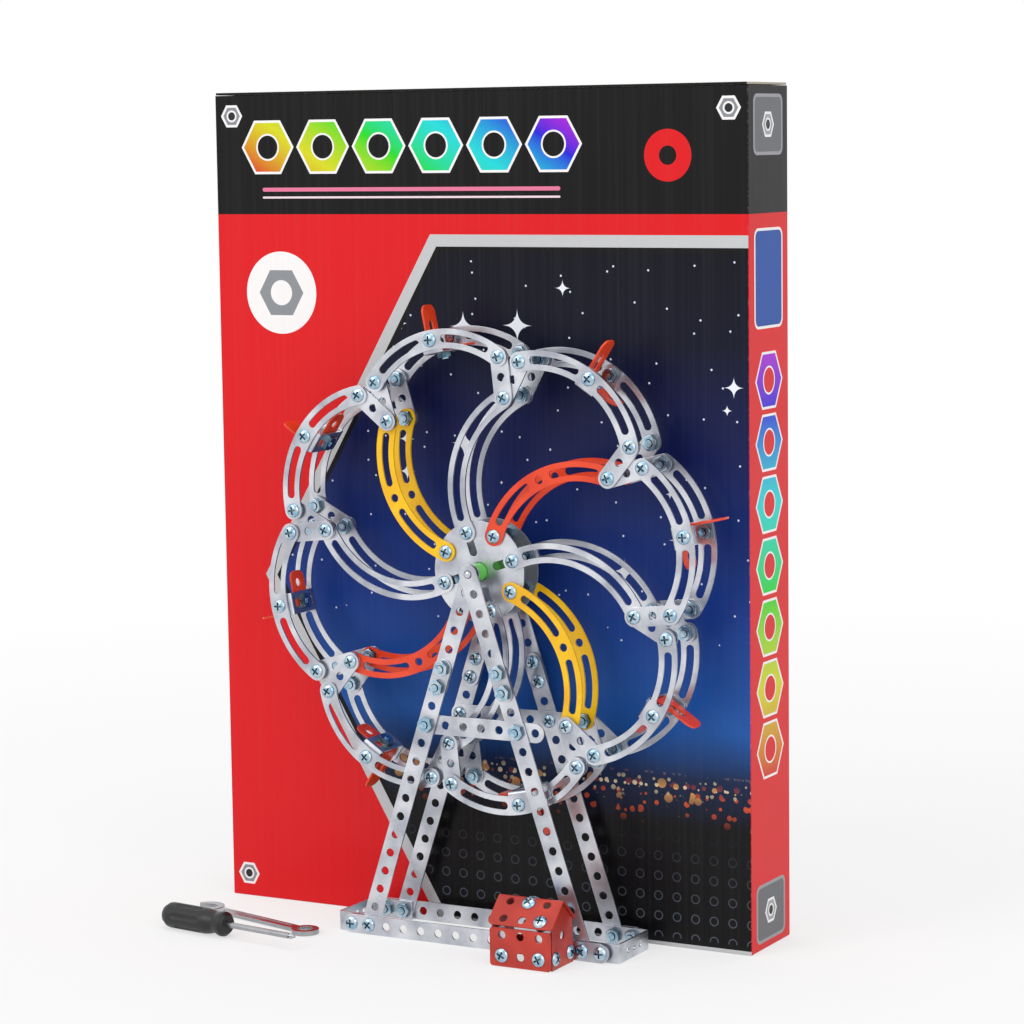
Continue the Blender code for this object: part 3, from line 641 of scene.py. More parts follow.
@dataclass(frozen=True)
class GreyBoard:
    """The unprinted side of coated duplex board: warm grey, matt, with short pressed fibres."""

    name: str = "duplex_board_grey_side"
    tint: str = "#B9B2A6"
    shade: str = "#A29A8D"
    fibre_mm: float = 0.8

    def material(self) -> Material:
        """Builds the finish."""
        material, tree, shader, spot = fresh(self.name)
        long_way = add(tree, "Mapping", {"Vector": spot, "Scale": (1.0, 1.0, 0.25)})
        fibre = add(tree, "TexNoise", {"Vector": long_way, "Scale": per_metre(self.fibre_mm), "Detail": 5.0})
        add(tree, "Mix", {0: fibre, 6: linear(self.tint), 7: linear(self.shade)}, shader.inputs["Base Color"],
            data_type="RGBA")
        add(tree, "Bump", {"Height": fibre, "Distance": 0.05 * MM, "Strength": 0.4}, shader.inputs["Normal"])
        shader.inputs["Roughness"].default_value = 0.85
        return material


class Finishes:
    """The set's finishes, each built once."""

    def __init__(self) -> None:
        """Builds them."""
        self.steel = PlatedSteel().material()
        self.yellow = StoveEnamel("yellow_stove_enamel", "#F8C60C", "#EDB004").material()
        self.red = StoveEnamel("orange_red_stove_enamel", "#EA4A24", "#DB3B17").material()
        self.booth = StoveEnamel("brick_red_stove_enamel", "#C63A2A", "#A92C20", (0.3, 0.4)).material()
        self.zinc = BrightZinc().material()
        # Painted shade: a darker, duller zinc laid on screw recesses and on nut flats and bores, to darken
        # them as shade would.
        self.painted_shade_zinc = BrightZinc("zinc_with_painted_shade", "#46606F", "#6C8593",
                                  roughness=(0.3, 0.42)).material()
        self.green = MouldedPlastic("green_polypropylene", "#5CC648", "#4DB53B", (0.22, 0.32)).material()
        self.grip = MouldedPlastic("black_polypropylene", "#17181A", "#0E0F10", (0.35, 0.5)).material()
        self.tool = ForgedChrome().material()
        self.board = GreyBoard().material()


def coated(piece: Piece, material: Material) -> Piece:
    """Gives a piece one finish all over."""
    piece.data.materials.clear()
    piece.data.materials.append(material)
    return piece


def handed_over(piece: Piece, body: Body, slot: Slot, *nodes: str) -> Piece:
    """Shades a finished piece, puts it on its body and lets it stand for its solids.

    Args:
        piece: the finished piece.
        body: the body that it rides on.
        slot: the record's slot that its finish belongs to; not used.
        nodes: the CAD nodes that it stands for, if any.

    Returns:
        The piece.
    """
    shaded(piece)
    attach(piece, body.value)
    if nodes:
        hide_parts(*nodes)
    LOG.info("%s: %d faces, on %s", piece.name, len(piece.data.polygons), body.value)
    return piece


# Screws and nuts

@dataclass
class Hardware:
    """M4 pan head screws with a cross recess, and their hexagon nuts."""

    zinc: Material
    # painted shade: the darker zinc given to recesses, nut flats and bores
    painted_shade_zinc: Material
    head_radius: float = 0.0035
    head_height: float = 0.0016
    head_shares: tuple[Point, ...] = ((0.94, 0.0), (1.0, 0.2), (0.93, 0.55), (0.72, 0.85), (0.4, 1.0))
    recess_length: float = 0.0043
    recess_width: float = 0.0009
    recess_depth: float = 0.0012
    shank_radius: float = 0.0018
    shank_proud: float = 0.0006
    nut_across: float = 0.0070
    nut_height: float = 0.0024
    nut_chamfer_share: float = 0.12
    nut_bore_share: float = 1.18
    nut_turn_ratio: float = 1.7
    spacer_radius: float = 0.0034
    head: Piece = field(init=False)
    nut: Piece = field(init=False)

    def __post_init__(self) -> None:
        """Models one head and one nut, which are copied for every screw."""
        self.head = self._head_master()
        self.nut = self._nut_master()

    def _head_master(self) -> Piece:
        """A domed head standing on z = 0, with its cross recess."""
        radius, height = self.head_radius, self.head_height
        head = lathed("screw_head", [(across * radius, up * height) for across, up in self.head_shares], 20)
        blades = []
        for turn in (0.0, QUARTER):
            half = Vector((self.recess_length / 2, self.recess_width / 2, 0.0))
            blade = block("blade", (-half.x, -half.y, height - self.recess_depth),
                          (half.x, half.y, 2 * height))
            put(blade, rotated(turn, "Z"))
            blades.append(blade)
        cross = cut(blades[0], [blades[1]], "UNION")
        return self._plated_with_painted_shade(cut(head, [cross]), radius * 0.7, height - self.recess_depth * 0.9)

    def _nut_master(self) -> Piece:
        """A hexagon nut standing on z = 0, chamfered on its outer face, with its threaded hole."""
        radius = self.nut_across / 2 / math.cos(math.pi / 6)
        rim = self.nut_height * self.nut_chamfer_share
        nut = rod("nut", radius, self.nut_height, moved(z=self.nut_height / 2), 6)
        cone = lathed("cone", [(radius * 1.2, -self.nut_height), (radius * 1.2, self.nut_height - 2 * rim),
                               (self.nut_across / 2 * 0.9, self.nut_height)], 24)
        nut = cut(nut, [cone], "INTERSECT")
        bore = rod("bore", self.shank_radius * self.nut_bore_share, self.nut_height,
                   moved(z=self.nut_height), 16)
        return self._plated_with_painted_shade(cut(nut, [bore]), 2 * radius, self.nut_height * 0.5)

    def _plated_with_painted_shade(self, piece: Piece, reach: float, low: float) -> Piece:
        """Zinc all over, with painted shade: darker, duller zinc on a recess's walls and floor and on a nut's
        flats and bore.

        Args:
            piece: the head or nut.
            reach: how far from the axis the faces with painted shade lie.
            low: the height that its floor lies under.

        Returns:
            The piece.
        """
        coated(piece, self.zinc)
        piece.data.materials.append(self.painted_shade_zinc)
        # painted shade: walls near the axis, and floors low in a recess, take the darker zinc
        for face in piece.data.polygons:
            near = face.center.to_2d().length < reach
            wall = abs(face.normal.z) < 0.3
            floor = face.normal.z > 0.9 and face.center.z < low
            face.material_index = int(near and (wall or floor))
        return piece

    def screw(self, point: Point, outer: float, inner: float, turn: float,
              spacer: tuple[float, float] | None = None) -> list[Piece]:
        """One screw through the front plane, with its nut behind and a spacer where sheets stand apart.

        Args:
            point: where it goes through, from the assembly's middle.
            outer: how far the outer sheet's face stands in front of the middle plane.
            inner: how far the inner sheet's back stands in front of it.
            turn: how far the head and nut are turned, which differs from screw to screw.
            spacer: the front and back of a spacer, from the middle plane.

        Returns:
            Its parts.
        """
        front = math.copysign(1.0, outer - inner)
        facing, behind = (UPRIGHT, HINDWARD) if front > 0 else (HINDWARD, UPRIGHT)
        spot = moved(point[0], 0.0, point[1])
        outside = spot @ moved(y=-outer) @ facing
        inside = spot @ moved(y=-inner) @ behind
        tip = inner - front * (self.nut_height + self.shank_proud)
        shank = rod("shank", self.shank_radius, abs(outer - tip),
                    spot @ moved(y=-(outer + tip) / 2) @ UPRIGHT, 12)
        parts = [copied(self.head, "head", outside @ rotated(turn, "Z")),
                 copied(self.nut, "nut", inside @ rotated(turn * self.nut_turn_ratio, "Z")),
                 coated(shank, self.zinc)]
        if spacer:
            near, far = spacer
            ring = rod("spacer", self.spacer_radius, near - far,
                       spot @ moved(y=-(near + far) / 2) @ UPRIGHT, 20)
            parts.append(coated(ring, self.zinc))
        return parts

    def cleared(self) -> None:
        """Removes the masters."""
        scrapped([self.head, self.nut])


# The wheel

@dataclass
class Wheel:
    """Two mirrored rings of curved strips on slotted discs, with eight seats clamped between them."""

    finishes: Finishes
    hardware: Hardware
    middle: Vector
    count: int = 8
    arc_radius: float = 0.050
    arc_spread: float = math.radians(90.0)
    slot_land: float = 0.0040
    arm_start: float = math.radians(18.5)
    arm_twist: float = math.radians(29.5)
    hub_screw_circle: float = 0.020
    disc_radius: float = 0.025
    disc_slot_reach: float = 0.010
    rim_depth: float = 0.0122
    link_pitches: int = 2
    sleeve_radius: float = 0.0045
    sleeve_bore: float = 0.0023
    sleeve_half: float = 0.0152

    def __post_init__(self) -> None:
        """Works out the wheel's points from its driving sizes."""
        self.step = 2 * math.pi / self.count
        self.chord = 2 * self.arc_radius * math.sin(self.arc_spread / 2)
        across = self.hub_screw_circle * math.sin(self.arm_twist)
        self.arm_reach = (self.hub_screw_circle * math.cos(self.arm_twist)
                          + math.sqrt(self.chord ** 2 - across ** 2))
        self.tip_angle = self.arm_start - self.arm_twist
        self.rim_half = self._rim_half_angle()
        self.rim_end_reach = self.chord / 2 / math.sin(self.rim_half)
        self.rim_middle = self.tip_angle + self.step / 2
        self.rim_centre_reach = (self.rim_end_reach * math.cos(self.rim_half)
                                 - self.arc_radius * math.cos(self.arc_spread / 2))
        self.link_outer = self.rim_depth - STOCK.layer
        self.link_inner = self.link_outer - STOCK.layer
        self.arm_depth = self.link_inner - STOCK.layer
        self.disc_depth = self.arm_depth - STOCK.layer
        self.seat_reach = self.rim_centre_reach + self.arc_radius

    def _rim_half_angle(self) -> float:
        """Half the angle between a rim strip's ends, so that the links just reach the arms."""
        low, high = self.step / 4, self.step / 2
        length = self.link_pitches * STOCK.pitch
        for _ in range(60):
            half = (low + high) / 2
            reach = self.chord / 2 / math.sin(half)
            beside = self.step / 2 - half
            gap = math.hypot(reach * math.cos(beside) - self.arm_reach, reach * math.sin(beside))
            low, high = (half, high) if gap > length else (low, half)
        return half

    def _slots(self, centre: Point, facing: float, single: bool, depth: float) -> list[Piece]:
        """Cutters for a curved strip's slots and end holes, and its middle hole where there are two slots."""
        land = (STOCK.hole_radius + self.slot_land + STOCK.slot_half_width) / self.arc_radius
        far = self.arc_spread / 2 - land
        spans = [(-far, far)] if single else [(-far, -land), (land, far)]
        cutters = [arc_bar("slot", centre, self.arc_radius, facing + a, facing + b,
                           2 * STOCK.slot_half_width, 4 * STOCK.sheet, depth, 16) for a, b in spans]
        turns = [-self.arc_spread / 2, self.arc_spread / 2] + ([] if single else [0.0])
        for turn in turns:
            cutters.append(STOCK.hole((centre[0] + self.arc_radius * math.cos(facing + turn),
                                       centre[1] + self.arc_radius * math.sin(facing + turn)), depth))
        return cutters

    def _arm(self, single: bool) -> Piece:
        """The first arm, bulging anticlockwise between its hub screw and its tip."""
        foot = Vector(polar(self.hub_screw_circle, self.arm_start))
        tip = Vector(polar(self.arm_reach, self.tip_angle))
        bulge = Vector((foot.y - tip.y, tip.x - foot.x)).normalized()
        centre = (foot + tip) / 2 - bulge * self.arc_radius * math.cos(self.arc_spread / 2)
        facing = math.atan2(bulge.y, bulge.x)
        half = self.arc_spread / 2
        arm = arc_bar("arm", tuple(centre), self.arc_radius, facing - half, facing + half,
                      STOCK.width, STOCK.sheet, self.arm_depth)
        return STOCK.punched(arm, self._slots(tuple(centre), facing, single, self.arm_depth))

    def _rim(self) -> Piece:
        """The first rim strip with the two links that lie behind its ends."""
        centre = polar(self.rim_centre_reach, self.rim_middle)
        half = self.arc_spread / 2
        strip = arc_bar("rim", centre, self.arc_radius, self.rim_middle - half, self.rim_middle + half,
                        STOCK.width, STOCK.sheet, self.rim_depth)
        STOCK.punched(strip, self._slots(centre, self.rim_middle, False, self.rim_depth))
        ends = [polar(self.rim_end_reach, self.rim_middle + side * self.rim_half) for side in (-1, 1)]
        tips = [polar(self.arm_reach, self.tip_angle + turn) for turn in (0.0, self.step)]
        holes = self.link_pitches + 1
        links = [STOCK.strip("link", ends[0], tips[0], holes, self.link_outer),
                 STOCK.strip("link", ends[1], tips[1], holes, self.link_inner)]
        return coated(joined("rim", [strip] + links), self.finishes.steel)

    def _screws(self) -> Piece:
        """The first sector's screws: at the hub, at the arm's tip, at both rim ends and at the seat."""
        half = STOCK.sheet / 2
        sheets = {"hub": (self.arm_depth, self.disc_depth), "tip": (self.link_outer, self.arm_depth),
                  "first": (self.rim_depth, self.link_outer), "last": (self.rim_depth, self.link_inner),
                  "seat": (self.rim_depth, self.link_outer)}
        spots = {"hub": polar(self.hub_screw_circle, self.arm_start),
                 "tip": polar(self.arm_reach, self.tip_angle),
                 "first": polar(self.rim_end_reach, self.rim_middle - self.rim_half),
                 "last": polar(self.rim_end_reach, self.rim_middle + self.rim_half),
                 "seat": polar(self.seat_reach, self.rim_middle)}
        parts = []
        for number, (name, (outer, inner)) in enumerate(sheets.items()):
            spacer = None
            if name == "last":
                spacer = (self.rim_depth - half, self.link_inner + half)
            parts += self.hardware.screw(spots[name], outer + half, inner - half, 0.4 + 0.7 * number,
                                         spacer=spacer)
        return joined("screws", parts)

    def _disc(self) -> Piece:
        """The hub disc, with its bore and a slot inwards from the screw of each silver arm."""
        disc = rod("disc", self.disc_radius, STOCK.sheet, upright_spot((0.0, 0.0), 0.0, self.disc_depth), 96)
        cutters = [pin((0.0, 0.0), self.sleeve_radius + STOCK.gap, 4 * STOCK.sheet, self.disc_depth, 40)]
        for i in range(self.count):
            angle = self.arm_start + i * self.step
            foot = polar(self.hub_screw_circle, angle)
            if i % 2:
                cutters.append(STOCK.hole(foot, self.disc_depth))
            else:
                cutters.append(STOCK.slot(polar(self.disc_slot_reach, angle), foot, self.disc_depth,
                                          STOCK.hole_radius))
        return coated(STOCK.punched(disc, cutters), self.finishes.steel)

    def _sleeve(self) -> Piece:
        """The green tube that both discs grip."""
        tube = rod("sleeve", self.sleeve_radius, 2 * self.sleeve_half, UPRIGHT, 48)
        cut(tube, [pin((0.0, 0.0), self.sleeve_bore, 3 * self.sleeve_half, 0.0, 32)])
        return coated(eased(tube, 2 * STOCK.edge), self.finishes.green)

    def _turned(self, number: int) -> Matrix:
        """The move from the first sector, about the wheel's middle, to another."""
        return moved(*self.middle) @ rotated(-number * self.step, "Y")

    def build(self) -> None:
        """Builds every piece of the wheel, sector by sector."""
        arms = [self._arm(True), self._arm(False)]
        rim, screws, disc = self._rim(), self._screws(), self._disc()
        looks = ((self.finishes.steel, Slot.STEEL), (self.finishes.red, Slot.RED),
                 (self.finishes.steel, Slot.STEEL), (self.finishes.yellow, Slot.YELLOW))
        for number in range(self.count):
            for ring, flip in RINGS:
                tag = f"{ring}_{number + 1}"
                move = self._turned(number) @ flip
                look, slot = looks[number % len(looks)]
                arm = coated(copied(arms[number % 2], f"arm_strip_{tag}", move), look)
                handed_over(arm, Body.WHEEL, slot, f"arm_{tag}")
                handed_over(copied(rim, f"rim_strips_{tag}", move), Body.WHEEL, Slot.STEEL, f"rim_{tag}")
                handed_over(copied(screws, f"sector_screws_{tag}", move), Body.WHEEL, Slot.AXLE)
        for ring, flip in RINGS:
            move = moved(*self.middle) @ flip
            face = copied(disc, f"slotted_disc_{ring}", move)
            handed_over(face, Body.WHEEL, Slot.STEEL, f"hub_disc_{ring}")
        sleeve = put(self._sleeve(), moved(*self.middle))
        sleeve.name = "hub_tube"
        handed_over(sleeve, Body.WHEEL, Slot.GREEN, "hub_sleeve")
        scrapped([*arms, rim, screws, disc])


@dataclass
class Seat:
    """A passenger seat: a slotted U bracket between the rims, and a strip bent to a seat and a back."""

    finishes: Finishes
    hardware: Hardware
    wheel: Wheel
    bracket_length: float = 0.0110
    web_drop: float = 0.0070
    flange_rise: float = 0.0048
    bracket_corner: float = 0.0028
    strip_width: float = 0.0120
    strip_corner: float = 0.0042
    back_tip: float = 0.0160
    front_reach: float = 0.0225
    slot_half: float = 0.0019
    slot_foot_share: float = 0.34
    slot_top_share: float = 0.62
    wing_share: float = 0.55
    wing_half: float = 0.0022

    def _bracket(self, web_low: float, inner: float) -> Piece:
        """The U bracket, folded up at both sides, its slots along the wheel's rim."""
        sheet = STOCK.sheet
        bend = STOCK.fold + sheet / 2
        flange = self.wheel.seat_reach + self.flange_rise - (web_low + sheet / 2) - bend
        web = 2 * (inner + sheet / 2 - bend)
        bar = DrawnBar("bracket", self.bracket_length, sheet)
        bar.run(flange).fold(QUARTER, STOCK.fold).run(web).fold(QUARTER, STOCK.fold).run(flange)
        bracket = bar.done(self.bracket_corner, 6)
        top = self.wheel.seat_reach + self.flange_rise
        place = (moved(0.0, -inner - sheet / 2, top) @ rotated(QUARTER, "Z")
                 @ rotated(QUARTER, "Y"))
        put(bracket, place)
        screw = rod("hole", STOCK.hole_radius, 3 * inner,
                    moved(z=self.wheel.seat_reach) @ UPRIGHT, 24)
        wings = []
        for side in (-1, 1):
            across = side * inner * self.wing_share
            wings.append(block("slot", (-self.slot_half, across - self.wing_half, web_low - sheet),
                               (self.slot_half, across + self.wing_half, web_low + 2 * sheet)))
        return coated(STOCK.punched(bracket, [screw] + wings), self.finishes.steel)

    def _strip(self, low: float) -> Piece:
        """The bent strip, with a slot in its upright part and a hole in its foot."""
        sheet = STOCK.sheet
        bend = STOCK.fold + sheet / 2
        upright_x = -self.bracket_length / 2 + sheet / 2
        foot = self.back_tip - upright_x - bend
        rise = self.front_reach + sheet / 2 - bend
        bar = DrawnBar("seat_strip", self.strip_width, sheet)
        bar.run(foot).fold(QUARTER, STOCK.fold).run(rise)
        strip = bar.done(self.strip_corner, 8)
        put(strip, moved(self.back_tip, 0.0, low + sheet / 2)
            @ rotated(math.pi, "Z"))
        slot_foot = low + self.front_reach * self.slot_foot_share
        slot_top = low + self.front_reach * self.slot_top_share
        slot = line_bar("slot", (0.0, slot_foot), (0.0, slot_top), 2 * self.slot_half, 6 * sheet, 0.0)
        put(slot, moved(upright_x) @ rotated(QUARTER, "Z"))
        holes = [rod("hole", STOCK.hole_radius, 6 * sheet, moved(x, 0.0, low), 24)
                 for x in (0.0, self.back_tip - self.strip_width / 2)]
        return coated(STOCK.punched(strip, [slot] + holes), self.finishes.red)

    def build(self) -> None:
        """Builds the top seat and copies it round the wheel."""
        web_low = self.wheel.seat_reach - self.web_drop
        inner = self.wheel.link_outer - STOCK.sheet / 2
        bracket = self._bracket(web_low, inner)
        strip = self._strip(web_low + STOCK.layer)
        screw = joined("seat_screw", self.hardware.screw((0.0, 0.0), web_low + 2 * STOCK.sheet + STOCK.gap,
                                                         web_low, 0.5))
        put(screw, HINDWARD)
        seat = joined("seat", [bracket, strip, screw])
        for number in range(self.wheel.count):
            lean = QUARTER - self.wheel.rim_middle - number * self.wheel.step
            place = moved(*self.wheel.middle) @ rotated(lean, "Y")
            handed_over(copied(seat, f"passenger_seat_{number + 1}", place), Body.WHEEL, Slot.RED,
                        f"seat_{number + 1}")
        scrapped([seat])


# The stand

@dataclass
class Stand:
    """Twin A-frames on a perforated base, with the level braces and the axle."""

    finishes: Finishes
    hardware: Hardware
    place: Vector
    upper_holes: int = 7
    lower_holes: int = 15
    lap_holes: int = 2
    rail_holes: int = 15
    foot_holes_from_end: int = 1
    brace_holes: int = 7
    brace_leg_hole: int = 9
    leg_inner: float = 0.0160
    web_stand_off: float = 0.0032
    end_hole_radius: float = 0.0015
    end_hole_pitch: float = 0.0065
    axle_radius: float = 0.0018
    axle_stand: float = 0.0010

    def __post_init__(self) -> None:
        """Works out the A-frame from its hole counts."""
        self.leg_middle = self.leg_inner + STOCK.layer
        self.leg_outer = self.leg_middle + STOCK.layer
        self.leg_pitches = self.upper_holes + self.lower_holes - self.lap_holes - 1
        self.rail_half = STOCK.pitch * (self.rail_holes - 1) / 2
        foot = (self.rail_holes - 1) / 2 - self.foot_holes_from_end
        self.lean = math.asin(foot / self.leg_pitches)
        self.hub_height = STOCK.width / 2 + self.leg_pitches * STOCK.pitch * math.cos(self.lean)

    def _on_leg(self, side: int, pitches: float) -> Point:
        """A point on a leg's line, that many pitches down from the axle."""
        reach = pitches * STOCK.pitch
        return (side * reach * math.sin(self.lean), self.hub_height - reach * math.cos(self.lean))

    def _leg(self, side: int) -> Piece:
        """A leg's two lapped strips and the screws of its lap, nuts outside."""
        half = STOCK.sheet / 2
        upper_depth = self.leg_inner if side < 0 else self.leg_outer
        lap = self.upper_holes - self.lap_holes
        strips = [STOCK.strip("upper", self._on_leg(side, 0), self._on_leg(side, self.upper_holes - 1),
                              self.upper_holes, upper_depth),
                  STOCK.strip("lower", self._on_leg(side, lap), self._on_leg(side, self.leg_pitches),
                              self.lower_holes, self.leg_middle)]
        leg = coated(joined("leg", strips), self.finishes.steel)
        low, high = sorted((upper_depth, self.leg_middle))
        parts = []
        for number in range(lap, self.upper_holes):
            parts += self.hardware.screw(self._on_leg(side, number), low - half, high + half, 0.6 * number)
        return joined("leg", [leg] + parts)

    def _rail(self) -> Piece:
        """The front base rail with the cross heads at its ends, their nuts behind."""
        half = STOCK.sheet / 2
        ends = [(side * self.rail_half, STOCK.width / 2) for side in (-1, 1)]
        rail = coated(STOCK.strip("rail", *ends, self.rail_holes, self.leg_outer), self.finishes.steel)
        parts = []
        for number in (0, 1, self.rail_holes - 2, self.rail_holes - 1):
            point = (number * STOCK.pitch - self.rail_half, STOCK.width / 2)
            spacer = None
            if number in (0, self.rail_holes - 1):
                spacer = (self.leg_outer - half, self.leg_inner + half)
            parts += self.hardware.screw(point, self.leg_outer + half, self.leg_inner - half, 0.9 * number,
                                         spacer=spacer)
        return joined("rail", [rail] + parts)

    def _brace(self) -> Piece:
        """The level strip inside the front A-frame and the screws that hold it, nuts outside."""
        half = STOCK.sheet / 2
        left, height = self._on_leg(-1, self.brace_leg_hole - 1)
        end = (left + STOCK.pitch * (self.brace_holes - 1), height)
        brace = coated(STOCK.strip("brace", (left, height), end, self.brace_holes, self.leg_inner),
                       self.finishes.steel)
        parts = []
        for point in ((left, height), self._on_leg(1, self.brace_leg_hole - 1)):
            parts += self.hardware.screw(point, self.leg_inner - half, self.leg_middle + half, 0.8)
        return joined("brace", [brace] + parts)

    def _end_bracket(self) -> Piece:
        """The right U bracket that closes the base, three small holes in its web."""
        bend = STOCK.fold + STOCK.sheet / 2
        web_place = self.rail_half + STOCK.width / 2 + self.web_stand_off + STOCK.sheet / 2
        flange_end = self.rail_half - STOCK.pitch - STOCK.width / 2
        flange = web_place - flange_end - bend
        bar = DrawnBar("end", STOCK.width, STOCK.sheet)
        bar.run(flange).fold(QUARTER, STOCK.fold).run(2 * (self.leg_inner - bend))
        bar.fold(QUARTER, STOCK.fold).run(flange)
        bracket = bar.done()
        turn = Matrix(((1, 0, 0), (0, 0, 1), (0, -1, 0))).to_4x4()
        put(bracket, moved(flange_end, -self.leg_inner, STOCK.width / 2) @ turn)
        height = STOCK.width / 2
        sideways = rotated(QUARTER, "Y")
        cutters = [rod("hole", self.end_hole_radius, 4 * STOCK.sheet,
                       moved(web_place, i * self.end_hole_pitch, height) @ sideways, 24)
                   for i in (-1, 0, 1)]
        for number in (1, 2):
            x = self.rail_half - (number - 1) * STOCK.pitch
            cutters.append(rod("hole", STOCK.hole_radius, 4 * self.leg_inner,
                               moved(x, 0.0, height) @ UPRIGHT, 24))
        return coated(STOCK.punched(bracket, cutters), self.finishes.steel)

    def _axle(self) -> Piece:
        """The axle rod with its domed ends."""
        tip = self.leg_outer + STOCK.sheet / 2 + self.axle_stand
        radius = self.axle_radius
        dome = [(radius * math.cos(a), radius * 0.5 * math.sin(a)) for a in (0.3, 0.7, 1.1, 1.4)]
        straight = tip - radius * 0.5
        profile = [(r, -straight - z) for r, z in reversed(dome)] + [(radius, -straight), (radius, straight)]
        profile += [(r, straight + z) for r, z in dome]
        return coated(put(lathed("axle", profile, 32), UPRIGHT), self.finishes.steel)

    def build(self) -> None:
        """Builds the front pieces and mirrors them to the rear."""
        home = moved(*self.place)
        twins = [(self._leg(-1), "leg_{}_left"), (self._leg(1), "leg_{}_right"),
                 (self._rail(), "base_rail_{}"), (self._brace(), "cross_brace_{}")]
        for ring, flip in RINGS:
            for master, pattern in twins:
                node = pattern.format(ring)
                handed_over(copied(master, f"{node}_strips", home @ flip), Body.STAND, Slot.STEEL, node)
        scrapped([master for master, _ in twins])
        bracket = self._end_bracket()
        for side, turn in (("right", 0.0), ("left", math.pi)):
            handed_over(copied(bracket, f"base_bracket_{side}", home @ rotated(turn, "Z")),
                        Body.STAND, Slot.STEEL, f"base_end_{side}")
        scrapped([bracket])
        axle = put(self._axle(), home @ moved(z=self.hub_height))
        axle.name = "axle_rod"
        handed_over(axle, Body.STAND, Slot.AXLE, "axle")


